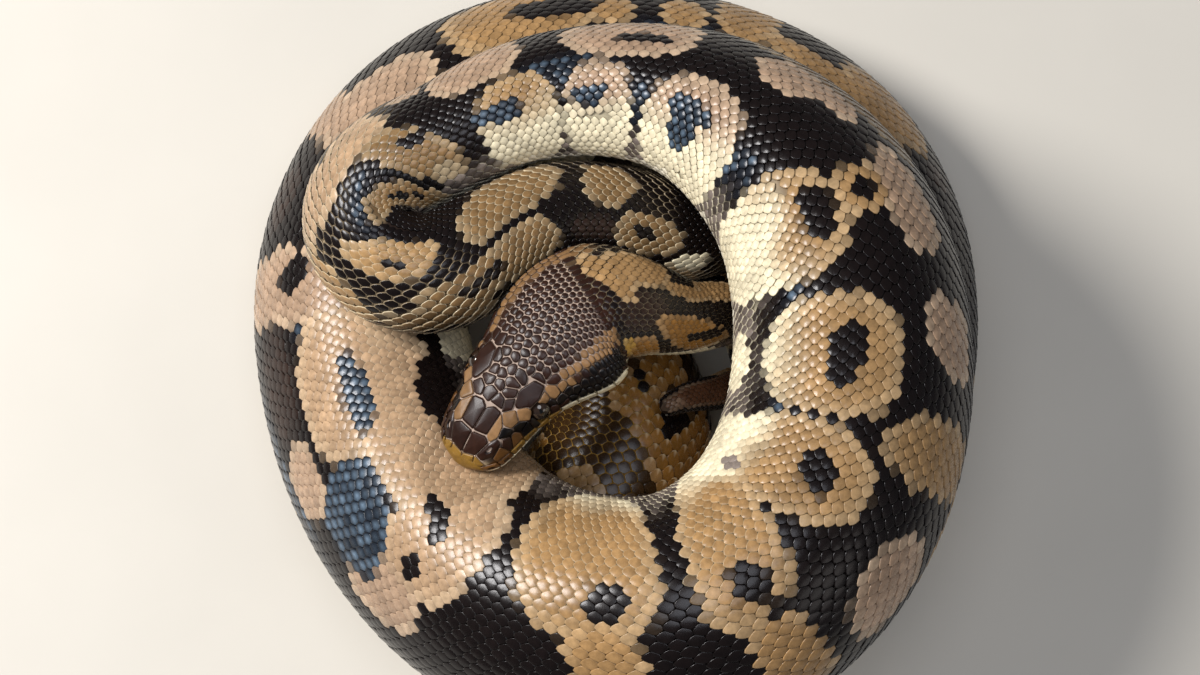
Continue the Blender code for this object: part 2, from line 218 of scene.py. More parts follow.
def section(s):
    """ROUND places at equal steps round the body at s, from the spine towards the animal's left."""
    turn = np.linspace(0, 2 * math.pi, DRAWN)
    middle = centre(s)
    _, left, spine = axes(s)
    half, rise, drop = girth(s)
    power = np.where(np.cos(turn) > 0, 2 / TOP_SQUARENESS, 2 / BELLY_SQUARENESS)
    across = half * np.sign(np.sin(turn)) * np.abs(np.sin(turn)) ** power
    upward = np.where(np.cos(turn) > 0, rise, drop)
    upward = upward * np.sign(np.cos(turn)) * np.abs(np.cos(turn)) ** power
    arm = across[:, None] * left + upward[:, None] * spine
    towards = arm @ ((heading(s + 2) - heading(s - 2)) / 4)
    share = np.where(towards > FOLD, FOLD / np.maximum(towards, 1e-9), 1.0)
    size = (half + rise + drop) / 3
    others = np.abs(SAMPLES - s) > NEIGHBOUR * (size + SAMPLE_SIZE)
    offset = SAMPLE_CENTRE[others] - middle
    distance = np.linalg.norm(offset, axis=1)
    room = (distance**2 - SAMPLE_SIZE[others] ** 2 + size**2 - FLESH_GAP * distance) / 2
    reach = arm @ offset.T
    limit = np.where(reach > 1e-6, room / np.maximum(reach, 1e-6), FREE).min(axis=1)
    share = np.minimum(share, np.maximum(limit, LEAST))
    place = middle + arm * share[:, None]
    place[:, 2] = np.maximum(place[:, 2], 0.0)
    run = np.concatenate([[0], np.cumsum(np.linalg.norm(np.diff(place, axis=0), axis=1))])
    at = np.linspace(0, run[-1], ROUND, endpoint=False)
    return np.stack([np.interp(at, run, place[:, k]) for k in range(3)], -1)


S_GRID = np.concatenate([np.arange(0.35, 50, 0.5), np.arange(50, LENGTH - 0.4, 1.0), [LENGTH - 0.4]])
OUTSIDE = np.array([section(np.array(s)) for s in S_GRID])
EVENED = slice(60, -4)  # all but the front of the head and the tip of the tail
for way in (0, 1, 0, 1):  # along, then round, twice: evens out the creases at the edges of pressed faces
    evened = (np.roll(OUTSIDE, 1, way) + 2 * OUTSIDE + np.roll(OUTSIDE, -1, way)) / 4
    OUTSIDE[EVENED] = evened[EVENED]
GIRTH_MM = np.linalg.norm(OUTSIDE - np.roll(OUTSIDE, 1, 1), axis=2).sum(axis=1)
print("sections:", len(S_GRID), "greatest girth", round(GIRTH_MM.max()), "mm")


def outward(grid):
    """The way out of the body at each place of the table."""
    along = np.gradient(grid, S_GRID, axis=0)
    across = np.roll(grid, -1, 1) - np.roll(grid, 1, 1)
    normal = unit(np.cross(across, along))
    middle = grid.mean(axis=1, keepdims=True)
    return normal * np.sign(((grid - middle) * normal).sum(-1, keepdims=True))


OUT = outward(OUTSIDE)

# %% [markdown]
# ## Relief of the head
# A ball python's head is a blunt arrow. A ridge runs from the nostril over the eye, the cheek is
# hollow in front of the eye, and the jaw muscles swell behind it. These forms are pushed out of
# the plain sections as soft bumps, which keeps them easy to read and to move.
# %% Ridges, hollows and folds
EYE_BACK, EYE_RADIUS, EYE_UP = 20.3, 2.75, 2.9  # mm from the snout, mm, and mm above the midline
EYE_SET = 0.9  # of its radius: how deep the eye is set in the side of the head
HEAD_SECTIONS, RELIEF_TO = 100, 100  # the first 50 mm of the table; mm along that carry relief
SOCKET_REACH, SOCKET_RIM = 12, 3.5  # mm from the eye's middle that can be rim, and the rim's radius
ANGLE = (np.arange(ROUND) / ROUND * 360 + 180) % 360 - 180  # degrees from the spine


def smooth(low, high, value):
    t = np.clip((value - low) / (high - low), 0, 1)
    return t * t * (3 - 2 * t)


def bump(at, middle, width):
    return np.exp(-(((at - middle) / width) ** 2))


def eye_place(side):
    """The middle of the eye on the left (1) or the right (-1)."""
    s = np.array(EYE_BACK)
    _, left, spine = axes(s)
    half = float(girth(s)[0])
    return centre(s) + side * (half - EYE_RADIUS * EYE_SET) * left + EYE_UP * spine


EYES = {"eye_left": eye_place(1), "eye_right": eye_place(-1)}
EYE_OUT = {}


def off_axis(places, name):
    """How far places lie from the line on which the named eye looks out."""
    away = places - EYES[name]
    return np.linalg.norm(away - (away @ EYE_OUT[name])[..., None] * EYE_OUT[name], axis=2)


s, a = S_GRID[:, None], np.abs(ANGLE)[None, :]
relief = 0.45 * bump(s, 13.5, 6.5) * bump(a, 44, 8)  # the ridge in front of the eye
relief = relief - 0.6 * bump(s, 12, 4.5) * bump(a, 68, 13)  # the hollow cheek
relief = relief + 0.5 * bump(s, 36, 7) * bump(a, 68, 20)  # the jaw muscle
relief = relief + 2.4 * bump(s, 37, 9) * bump(ANGLE[None, :], 86, 24)  # the left jaw, turned up
relief = relief - 0.3 * bump(s, 34, 10) * bump(a, 0, 7)  # the furrow of the crown
relief = relief + 0.22 * np.sin(s / 2.35 * 2 * math.pi) * bump(s, 72, 9) * smooth(70, 30, a)  # nape folds
for name, middle in EYES.items():
    gap = np.linalg.norm(OUTSIDE - middle, axis=2)
    k, j = np.unravel_index(np.argmin(gap[:HEAD_SECTIONS]), gap[:HEAD_SECTIONS].shape)
    EYE_OUT[name] = unit(OUT[k, j] + OUTSIDE[k, j] - middle)
    rim = 0.5 * bump(off_axis(OUTSIDE, name), SOCKET_RIM, 0.9)
    relief = relief + (gap < SOCKET_REACH) * rim
OUTSIDE = OUTSIDE + OUT * relief[..., None] * (s < RELIEF_TO)[..., None]
OUTSIDE[..., 2] = np.maximum(OUTSIDE[..., 2], 0.0)
OUT = outward(OUTSIDE)
print("relief of the head:", round(float(relief.min()), 2), "to", round(float(relief.max()), 2), "mm")


# %% [markdown]
# Everything that lies on the snake is placed by the next three helpers: where a place on the body
# is, how much a bend stretches the skin there, and how thick the body is.
# %% Places on the body
def on_body(s, share):
    """Place and way out, for arrays of distance along and signed share round from the spine."""
    k = np.interp(s, S_GRID, np.arange(len(S_GRID)))
    i = np.clip(k.astype(int), 0, len(S_GRID) - 2)
    f = (k - i)[..., None]
    m = (share % 1.0) * ROUND
    j = np.floor(m).astype(int)
    g = (m - j)[..., None]
    j0, j1 = j % ROUND, (j + 1) % ROUND
    found = []
    for grid in (OUTSIDE, OUT):
        near = grid[i, j0] * (1 - g) + grid[i, j1] * g
        far = grid[i + 1, j0] * (1 - g) + grid[i + 1, j1] * g
        found.append(near * (1 - f) + far * f)
    return found[0], unit(found[1])


def stretch(s, share):
    """How many mm of surface there are to each mm along the spine."""
    ahead, _ = on_body(s + 1.0, share)
    behind, _ = on_body(s - 1.0, share)
    return np.linalg.norm(ahead - behind, axis=-1) / 2


def girth_at(s):
    return np.interp(s, S_GRID, GIRTH_MM)


print("girth at 100, 500 and 1000 mm:", np.round(girth_at(np.array([100, 500, 1000]))), "mm")

# %% [markdown]
# The mouth is a flat cut through the head, seen from the side as one line from the snout to
# the corner of the jaw. The head is rolled a little further to its right than LEAN says, so the
# cut is tilted as well: the mouth lies nearer to the crown on the left than on the right.
# %% The line of the mouth
MOUTH_HEIGHT, MOUTH_END = -1.6, 42.5  # mm above the snout's middle, mm along to the corner of the jaw
MOUTH_SLOPE, MOUTH_LEAN = 0.045, 0.15  # mm down to each mm along, and mm up to each mm to the left
head_rings = int(np.searchsorted(S_GRID, 60))
head_tailward, head_left, head_spine = axes(np.array(20.0))
mouth_normal = unit(head_spine + MOUTH_SLOPE * head_tailward - MOUTH_LEAN * head_left)
mouth_point = centre(0.0) + MOUTH_HEIGHT * head_spine
MOUTH = {}
for side in (1, -1):
    order = (side * np.arange(1, 80)) % ROUND
    above = (OUTSIDE[:head_rings, order] - mouth_point) @ mouth_normal
    first = np.argmax(above < 0, axis=1)
    k = np.arange(head_rings)
    top, low = above[k, first - 1], above[k, first]
    MOUTH[side] = (first + top / np.maximum(top - low, 1e-6)) / ROUND * 360
    degrees = np.interp([10, 20, 30, 40], S_GRID[:head_rings], MOUTH[side])
    print("mouth line at 10, 20, 30 and 40 mm:", np.round(degrees), "degrees")


def mouth_degrees(s, side):
    return np.interp(s, S_GRID[:head_rings], MOUTH[side])


def from_crown(s, a):
    """Angle from the crown, unsigned, the same at the lips on both sides though the head is rolled."""
    level = (mouth_degrees(s, 1) + mouth_degrees(s, -1)) / 2
    off = np.where(a > 0, level - mouth_degrees(s, 1), level - mouth_degrees(s, -1))
    off = off * smooth(52, 85, np.abs(a)) * smooth(180, 120, np.abs(a))
    lower = -6 * smooth(8, 40, np.abs(a)) * (np.abs(a) < 100)  # the right bands sit this much lower, or more
    return np.abs(a) + np.where(a > 0, off, np.minimum(off, lower))


# %% [markdown]
# ## The markings
# A royal python is near-black with light patches. Along each flank stands a row of rounded tan
# patches, each with one or two dark spots in it like eyes in a face, which pale to cream
# towards the white belly. Along the back runs a chain of smaller light spots. Each patch is
# written here as a soft oval: its tone, distance along, angle round from the spine, half
# length, half height in degrees, and lean in mm per degree. Scales take the colour at their
# root, so the edges break along the scales as they do on the animal.
# %% Light patches
LIGHT = [
    ("tan", 49, -16, 2.8, 33, 0.08), ("tan", 54.5, -31, 6.5, 25, 0), ("tan", 66, -5, 8, 13, 0.2),
    ("tan", 78, -8, 8, 31, 0.1), ("gold", 67.5, 62, 8, 34, 0.2), ("gold", 56.5, 84, 3.8, 28, 0.1),
    ("cream", 70, 112, 8, 14, 0.2), ("gilt", 50.8, 72, 2.0, 16, 0), ("tan", 97, -30, 9, 22, 0),
    ("tan", 104, 48, 9, 40, 0),
    ("tan", 122, -10, 7, 20, 0), ("gold", 128, 75, 9, 40, 0), ("cream", 147, -49, 4, 12, 0),
    # husk: a duller tan, darkened further as painted shade over the patches of the loop
    ("husk_with_painted_shade", 158.5, -24, 7.8, 23.5, 0), ("husk_with_painted_shade", 168, 25, 5.9, 27, 0), ("husk_with_painted_shade", 190, 30, 12.4, 28, -0.1),
    ("husk_with_painted_shade", 191.5, -28, 10.2, 25, 0), ("husk_with_painted_shade", 205, -20, 8, 19, 0), ("husk_with_painted_shade", 205.5, -46, 3.6, 16, 0),
    ("sand", 217, 24, 8.4, 22, -0.15), ("sand", 223, -38, 5.6, 19, 0.1), ("brown", 211, -44, 6, 16, 0),
    ("rose", 234, -20, 4.6, 27, 0.05), ("rose", 240, 9, 9, 21, 0.15), ("rose", 244, -13, 4, 11, 0),
    ("pink", 256, -15, 4.4, 13, 0), ("pink", 271.5, 2, 10.4, 33, 0), ("husk_with_painted_shade", 240.3, 88, 7.2, 42, 0.3),
    ("husk_with_painted_shade", 251, 63, 6.6, 38, 0.16), ("net", 255.5, 88, 3.5, 13, 0.1),
    ("sand", 276.5, 85, 10.6, 48, 0), ("pink", 298, 91, 9.8, 50, 0),
    ("pink", 304.5, 6, 14, 31, 0), ("pink", 326, 92, 15.6, 50, 0), ("brown", 342, -26, 19, 14, 0),
    ("pink", 337, 5, 6.6, 20, 0), ("pink", 345, -3, 6.5, 11, 0), ("sand", 366, 88, 15.3, 50, 0),
    ("sand", 364, 25, 5, 16, 0), ("pink", 367.5, -1, 10.6, 16, 0), ("pink", 392, -12, 7, 19, -0.1),
    ("sand", 398.5, 55, 14, 36, 0), ("cream", 399, 116, 9, 13, 0), ("sand", 413.3, -10, 6.6, 34, 0),
    ("sand", 425.5, 62, 11.6, 43, 0), ("cream", 431, 106, 15, 22, 0), ("pink", 434.5, -19, 8.2, 20, 0),
    ("tan", 448.2, 70, 10.8, 54, -0.1), ("tan", 452, -6, 5.4, 28, 0), ("tan", 482.6, 68, 17.3, 45, 0.03),
    ("tan", 478, 16, 6.5, 16, 0), ("rose", 517, 40, 12.4, 38, -0.1), ("pink", 524, -6, 9.5, 19, -0.1),
    ("rose", 545, 62, 37, 29, 0), ("rose", 568, 33, 21, 27, 0.05), ("pink", 554, -11, 8.4, 15, 0),
    ("rose", 520, 96, 10, 24, 0.15), ("cream", 577, 108, 7, 22, 0.1), ("pink", 598.5, -4, 7.8, 37, 0),
    ("pink", 596, 44, 9, 60, 0), ("pink", 634, -15, 5, 23, 0), ("pink", 641, 14, 13, 24, 0.15),
    ("pink", 641, 75, 13, 50, 0), ("tan", 674, 8, 16, 31, 0), ("tan", 676, 80, 14, 46, 0),
    ("tan", 693, 12, 4.3, 12, 0), ("tan", 708, 8, 4.6, 15, 0), ("tan", 721, -8, 6.2, 31, 0),
    ("tan", 744, 7, 20, 11, 0), ("tan", 752, -14, 10.5, 21, 0), ("gold", 953, 28, 8.5, 36, -0.33),
    ("gold", 951, 64, 5.6, 26, 0.12), ("gold", 963.5, 42, 4.2, 22, 0), ("gold", 939, -58, 3, 15, 0.1),
    ("rust", 1080, 0, 24, 62, 0), ("pink", 1097, -9, 2.2, 14, 0), ("pink", 1084, -8, 5, 12, 0),
]
print("light patches:", len(LIGHT))

# %% [markdown]
# The dark spots lie over the light patches and are written the same way, so that an eye spot can
# be moved inside its patch by changing two numbers.
# %% Dark spots inside the light patches
SPOTS = [
    ("dark", 159.5, -24, 1.9, 7.5, 0.05), ("dark", 203, -22, 5.3, 7.5, 0.1),
    ("dark", 217.3, 19.5, 2.7, 5.5, 0), ("dark", 211, -66, 3, 12, 0),
    ("black", 238.5, 85, 2.4, 9, 0.3), ("dark", 243.5, 96, 1.2, 14, 0.45),
    ("black", 246.2, 79, 1.5, 31, 0.25),
    # the blue spots are a painted blue sheen: light reflected off the gloss of dark scales
    ("dark", 252, 52, 3.4, 8, 0.1), ("painted_blue_sheen", 272, 66, 5.6, 9.5, 0.15), ("painted_blue_sheen", 295.5, 70, 5, 8.5, 0),
    ("dark", 307, 14, 5.6, 8.5, 0), ("painted_blue_sheen", 325, 68, 8, 8, 0.1), ("painted_blue_sheen", 324, 84, 4, 15, 0),
    ("dark", 364, 26, 2, 7, 0), ("dark", 365.5, 53, 6, 10, 0.15), ("dark", 398, 48, 7, 9.5, 0.15),
    ("dark", 425.5, 48, 4.6, 9.5, -0.15), ("grey", 433, 90, 2.4, 7, 0), ("dark", 451.2, 37, 3.8, 10.5, 0),
    ("dark", 450.5, 20, 1.6, 5, 0), ("dark", 477, 43, 4.5, 8.5, 0), ("dark", 518.8, 18, 2.3, 5.5, 0),
    ("dark", 518, 42, 3.4, 7, 0.1), ("dark", 521.5, 49, 4.6, 5, 0), ("painted_blue_sheen", 538, 10, 11.5, 24, 0.1),
    ("painted_blue_sheen", 563, 39, 12.8, 7.5, -0.1), ("dark", 558, 83, 13.5, 12, 0.35), ("dark", 576, 88, 6, 6, 0),
    ("dark", 599.5, 11, 4, 11.5, 0.05), ("dark", 681, 7, 9.6, 11, 0.08), ("dark", 953.5, 42, 2.2, 11, 0.1),
    ("dark", 962, 23, 3, 6, 0), ("dark", 71, 66, 4.6, 9, 0.25), ("dark", 104, 50, 3, 12, 0),
    ("dark", 128, 72, 3.5, 11, 0),
]
print("dark spots:", len(SPOTS))

# %% [markdown]
# The dark ground isn't one black. In places it shines blue, painted here as a blue sheen in its
# colour, and in others it is a warm brown. So it gets wide, soft tints: brown ones of its own, and
# the painted blue sheen, which lie under the patches.
# %% Painted blue sheen and brown in the dark ground
TINTS = [
    # the blue rows are a painted blue sheen, light reflected off the dark gloss; umber and bark are brown
    # tints of the ground
    ("painted_blue_sheen", 290, 45, 17, 18, 0), ("painted_blue_sheen", 309.5, 76, 4.5, 24, 0), ("painted_blue_sheen", 345, 80, 6.5, 20, 0),
    ("painted_blue_sheen", 386, 74, 5.5, 11, 0), ("painted_blue_sheen", 415, 76, 6.5, 10, 0), ("painted_blue_sheen", 232, 42, 10, 12, 0.2),
    ("painted_blue_sheen", 586, 26, 6, 22, 0), ("umber", 577, -10, 16, 18, 0), ("umber", 617, -15, 8, 15, 0),
    ("umber", 172, -25, 8, 16, 0), ("umber", 767.5, -18, 4, 12, 0), ("umber", 54, 25, 6, 30, 0),
    ("painted_blue_sheen", 560, -34, 30, 12, 0), ("painted_blue_sheen", 720, 30, 30, 20, 0), ("bark", 952, 0, 46, 130, 0),
]
print("tints:", len(TINTS))

# %% [markdown]
# The far flank, and the lengths that lie under others, carry the same kind of patches. They are
# laid out by rule with a little seeded chance in every size: one patch to each 29 mm or so, a
# dark spot in most, and small light saddles along the back.
# %% Patches of the hidden sides
chance = np.random.default_rng(11)


def lay_patches(start, end, side):
    """Flank patches from start to end, those on the right a little lower, most with a dark spot."""
    at = start
    while at < end:
        wide = chance.uniform(9.5, 13.5)
        tall = chance.uniform(44, 54)
        middle = chance.uniform(84, 90) if side > 0 else chance.uniform(94, 100)
        LIGHT.append(("tan", at + wide, side * middle, wide, tall, chance.uniform(-0.06, 0.06)))
        if chance.random() < 0.85:
            SPOTS.append(
                ("dark", at + wide + chance.uniform(-3, 3), side * chance.uniform(54, 66),
                 chance.uniform(3.0, 5.5), chance.uniform(7, 10), 0)
            )
        at += 2 * wide + chance.uniform(4, 7.5)


def lay_saddles(start, end):
    """Small light spots along the back from start to end."""
    at = start
    while at < end:
        wide = chance.uniform(5.5, 9)
        LIGHT.append(("tan", at + wide, chance.uniform(-10, 10), wide, chance.uniform(16, 28), 0))
        at += 2 * wide + chance.uniform(7, 12)


LEFT, RIGHT = 1, -1
for start, end in ((88, 150), (216, 1060)):
    lay_patches(start, end, RIGHT)
for start, end in ((612, 655), (698, 925), (972, 1066)):
    lay_patches(start, end, LEFT)
lay_saddles(800, 930)
lay_saddles(975, 1060)
print("with the hidden sides:", len(LIGHT), "light,", len(SPOTS), "dark")

# %% [markdown]
# Head markings of the species: a dark chocolate crown, a tan band from the nostril through the
# eye to the corner of the jaw, a black stripe under it, and pale lips. They are the same on both
# sides, so they are written once, by the unsigned angle.
# %% Markings of the head
HEAD_TONES = [
    ("band", 13.8, 44, 3.9, 21, 0.2), ("band", 40, 53.5, 13.5, 9.5, 0), ("band", 27, 58, 5, 4.5, 0.1),
    ("black", 34, 76.5, 13, 14, -0.1), ("lip", 8, 90, 14, 19, 0), ("black", 11.8, 60, 2.7, 26, 0.16),
    ("cream", 35, 103, 20, 10.5, 0), ("yolk", 8, 106, 15, 9, 0), ("yolk", 20.8, 95, 4.2, 6, 0),
    ("black", 29.5, 115, 1.5, 8, 0), ("black", 40, 114, 2.2, 7, 0), ("yolk", 0.6, 0, 1.6, 70, 0),
    ("cream", 25, 152, 40, 38, 0),
]
print("head markings:", len(HEAD_TONES))

# %% [markdown]
# Every tone has a name and is written once, as a painter's palette is, in the hex code that
# colour pickers show. Blender mixes light in linear numbers, so one function turns each code.
# %% The palette
def linear(code):
    """The linear colour of an sRGB hex code."""
    value = np.array([int(code[i : i + 2], 16) for i in (1, 3, 5)]) / 255
    return np.where(value <= 0.04045, value / 12.92, ((value + 0.055) / 1.055) ** 2.4)


PALETTE = {
    "cream": "#e6dcc0", "belly": "#efe8d6",  # the fading edges of the patches, and the plates
    "tan": "#9c7b53", "sand": "#9a7b55", "rose": "#a88c70", "pink": "#a48a74",  # the patches
    # husk is a duller tan, darkened further as painted shade for the patches from 150 to 260 mm
    "gold": "#8f6530", "husk_with_painted_shade": "#7f6443", "brown": "#5f4a31", "rust": "#5c3d2b",  # duller patches
    # the blue tone is a painted blue sheen: light reflected off the dark gloss, painted into the colour
    "dark": "#140e0d", "black": "#0c0909", "painted_blue_sheen": "#161b24",  # the ground and the spots
    "umber": "#33251f", "bark": "#3b2814", "grey": "#857a74",  # tints of the ground
    # the glint tone is a painted blue highlight on dark scales
    "net": "#a8977c", "gilt": "#a8843f", "seam": "#c6b1a4", "painted_glint": "#6b8096",  # rims and shine
    "crown": "#2a1811", "band": "#7d5f40", "lip": "#5f3f1e", "yolk": "#83632a",  # the head
}
TONES = {name: linear(code) for name, code in PALETTE.items()}
print("tones:", len(TONES))

# %% [markdown]
# Ovals alone would look cut out with scissors. Slow random waves push their edges about and
# cloud their tones, as pigment does. Waves of sine are made here in place of a noise texture,
# because the same numbers must be asked for by skin, scales and shields.
# %% Ovals and waves
OVAL_SQUARENESS = 2.4  # 2 gives a plain oval
TRUNK_ROUND = 140  # mm round the trunk, to turn degrees to mm


def ovals(table, s, a):
    """How deep each place lies in the nearest oval (1 at its middle), and the tone there."""
    depth = np.full(s.shape, -9.0)
    weight = np.zeros(s.shape + (1,))
    tone = np.zeros(s.shape + (3,))
    for name, s0, a0, long, tall, lean in table:
        near = np.abs(s - s0) < 2.2 * long + 20 * abs(lean) + 4
        ds = (s[near] - s0 - lean * (a[near] - a0)) / long
        da = (a[near] - a0) / tall
        q = 1 - (np.abs(ds) ** OVAL_SQUARENESS + np.abs(da) ** OVAL_SQUARENESS) ** (1 / OVAL_SQUARENESS)
        depth[near] = np.maximum(depth[near], q)
        pull = np.exp(9 * q)[:, None]
        weight[near] += pull
        tone[near] += pull * TONES[name]
    return depth, tone / np.maximum(weight, 1e-12)


def ripple(s, a, size, seed):
    """A smooth random wave over the body, about -1 to 1, with lumps of the given size in mm."""
    dice = np.random.default_rng(seed)
    total = np.zeros(s.shape)
    for _ in range(7):
        way = dice.uniform(0, math.pi)
        length = size * dice.uniform(1.2, 2.6)
        distance = s * math.cos(way) + a / 360 * TRUNK_ROUND * math.sin(way)
        total += np.sin(distance * 2 * math.pi / length + dice.uniform(0, 6.3))
    return total / 3.2


def mix(one, two, t):
    t = np.clip(t, 0, 1)[..., None]
    return one * (1 - t) + two * t


print("a wave at 100 to 400 mm:", np.round(ripple(np.array([100.0, 200, 300, 400]), 0, 9, 5), 2))

# %% [markdown]
# The colour of any place is built up in layers, as the animal's is: dark ground, tints, light
# patches that fade to cream towards the belly, dark spots, white belly, and the head over all. The
# blue tints and spots are a painted blue sheen, not pigment.
# %% The colour of any place
PALE_FROM = [  # mm along, and the degrees from the spine at which the light patches start to fade to cream
    (0, 84), (205, 84), (222, 120), (256, 116), (266, 62), (420, 64), (445, 86), (500, 88),
    (512, 112), (610, 112), (640, 80), (1101, 80),
]


def markings(s, a):
    """Colour of the coat at s, in mm along, and a, the signed angle from the spine."""
    s = s + 0.35 * ripple(s, a, 6, 1)
    ground = np.broadcast_to(TONES["dark"], s.shape + (3,))
    # the tints hold the painted blue sheen as well as the brown tints of the ground
    depth, tone = ovals(TINTS, s, a)
    ground = mix(ground, tone, smooth(0.0, 0.45, depth) * (0.75 + 0.25 * ripple(s, a, 4, 3)))
    low = np.abs(a) + 7 * ripple(s, a, 5, 2)
    ground = mix(ground, TONES["grey"], smooth(86, 118, low) * (0.62 + 0.4 * ripple(s, a, 2.4, 4)))
    depth, tone = ovals(LIGHT, s, a)
    fading = np.abs(a) + 5 * ripple(s, a, 9, 5) - through(PALE_FROM, s)
    tone = mix(tone, TONES["cream"], smooth(0, 28, fading))
    tone = mix(tone, TONES["cream"], 0.13 * smooth(0.3, 0.05, depth))
    tone = tone * (1 + 0.10 * ripple(s, a, 7, 6))[..., None]
    body = mix(ground, tone, smooth(-0.03, 0.03, depth))
    depth, tone = ovals(SPOTS, s, a)
    body = mix(body, tone, smooth(-0.06, 0.06, depth))
    body = mix(body, TONES["belly"], smooth(124, 138, low))
    head = np.broadcast_to(TONES["crown"], s.shape + (3,)) * (1 + 0.18 * ripple(s, a, 4, 8))[..., None]
    for row in HEAD_TONES:
        depth, tone = ovals([row], s, from_crown(s, a))
        head = mix(head, tone, smooth(-0.05, 0.07, depth))
    back = smooth(46.2, 48.2, s + 0.8 * ripple(s, a, 3, 9) - 5 * smooth(60, 85, np.abs(a)))
    nape, tone = ovals(LIGHT[:2], s, a)
    back = np.maximum(back, smooth(-0.05, 0.05, nape))
    return mix(head, body, back)


def seams(s, a):
    """Tone of the bare skin between dark scales, and how far it shows on their rims."""
    opened = smooth(1.05, 1.35, stretch(s, a / 360)) * smooth(262, 245, s)
    gilt = smooth(930, 937, s) * smooth(968, 960, s) * smooth(-75, -62, a) * smooth(34, 22, a)
    nape = smooth(45, 46.5, s) * smooth(90, 76, s) * 0.75
    mottled = 0.6 * smooth(84, 104, np.abs(a)) * smooth(250, 270, s) * smooth(520, 480, s)
    tone = mix(TONES["umber"], TONES["net"], np.maximum(opened, nape))
    tone = mix(mix(tone, TONES["cream"], mottled * 1.6), TONES["gilt"], gilt)
    return tone, np.maximum.reduce([0.75 * opened, nape, gilt, mottled])


print("tan patch at 366 mm:", np.round(markings(np.array([366.0]), np.array([75.0])), 2))

# %% [markdown]
# ## Making meshes quickly
# Twenty thousand scales are too many for edit mode, so their corners are worked out as tables of
# numbers and handed to Blender in one go. Each corner carries the colour of the markings, and
# each piece its own flat map, on which the body is laid out as an unrolled strip.
# %% Mesh tools
COAT = 0.55  # mm from the skin to the solids' surface: room for the scales
DARK = 0.12  # sum of red, green and blue below which a marking counts as dark
NODES_OF_FLESH = [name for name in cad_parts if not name.startswith("eye")]


def finish_mesh(name, corners, loops, sizes, colours, flat):
    """A smooth mesh object from corners in mm, faces as one run of corner numbers, and a flat map."""
    mesh = bpy.data.meshes.new(name)
    mesh.vertices.add(len(corners))
    mesh.vertices.foreach_set("co", ((corners + SHIFT) * MM).astype(np.float32).ravel())
    mesh.loops.add(len(loops))
    mesh.loops.foreach_set("vertex_index", loops.astype(np.int32))
    mesh.polygons.add(len(sizes))
    starts = np.concatenate([[0], np.cumsum(sizes)[:-1]])
    mesh.polygons.foreach_set("loop_start", starts.astype(np.int32))
    mesh.update(calc_edges=True)
    colour = mesh.color_attributes.new("marking", "FLOAT_COLOR", "POINT")
    rgba = np.concatenate([colours, np.ones((len(colours), 1))], axis=1)
    colour.data.foreach_set("color", np.clip(rgba, 0, 1).astype(np.float32).ravel())
    layer = mesh.uv_layers.new(name="OFBake")
    layer.data.foreach_set("uv", flat.astype(np.float32).ravel())
    mesh.shade_smooth()
    thing = bpy.data.objects.new(name, mesh)
    bpy.context.collection.objects.link(thing)
    triangles = int(sizes.sum() - 2 * len(sizes))
    print(name, "triangles:", triangles)
    return thing


def stretch_out(proto_faces, copies, corners_each):
    """The faces of one shape, repeated for each copy: one run of corner numbers, and face sizes."""
    one = np.concatenate([np.array(f) for f in proto_faces])
    loops = (one[None, :] + np.arange(copies)[:, None] * corners_each).ravel()
    return loops, np.tile([len(f) for f in proto_faces], copies)


print("solids of flesh to replace:", len(NODES_OF_FLESH))

# %% [markdown]
# ## The skin
# Under the scales lies one skin, without a seam from snout to tail tip. It sits inside the solids
# by the depth of the coat. At the eyes it sinks behind the eyeballs, and along the mouth it
# turns in, which leaves the dark line between the lips.
# %% Faces and map of the skin
STRIPS = 3  # the map shows the body as three strips, one above the other


def skin_faces(rings, wide):
    """Faces of a closed tube as one run of corner numbers, their sizes, and a flat map."""
    count = len(rings)
    i, j = np.meshgrid(np.arange(count - 1), np.arange(wide), indexing="ij")
    i, j = i.ravel(), j.ravel()
    k = (j + 1) % wide
    quads = np.stack([i * wide + j, (i + 1) * wide + j, (i + 1) * wide + k, i * wide + k], 1)
    third = LENGTH / STRIPS
    where = S_GRID[rings]
    strip = np.minimum((where[i] // third).astype(int), STRIPS - 1)
    flat = []
    for a, b in ((0, 0), (1, 0), (1, 1), (0, 1)):
        u = (where[i + a] - strip * third) / (third + 3)
        v = (strip + 0.01 + 0.97 * (j + b) / wide) / STRIPS
        flat.append(np.stack([u, v], 1))
    flat = np.stack(flat, 1).reshape(-1, 2) * 0.97
    j = np.arange(wide)
    k = (j + 1) % wide
    end = (count - 1) * wide
    snout = np.stack([np.full(wide, count * wide), j, k], 1)
    tail = np.stack([np.full(wide, count * wide + 1), end + k, end + j], 1)
    ends = np.tile(np.array([[0.975, 0.3], [0.99, 0.3], [0.99, 0.31]]), (2 * wide, 1))
    loops = np.concatenate([quads.ravel(), snout.ravel(), tail.ravel()])
    sizes = np.concatenate([np.full(len(quads), 4), np.full(2 * wide, 3)])
    return loops, sizes, np.concatenate([flat, ends])


print("map of the skin:", STRIPS, "strips of", round(LENGTH / STRIPS), "mm")

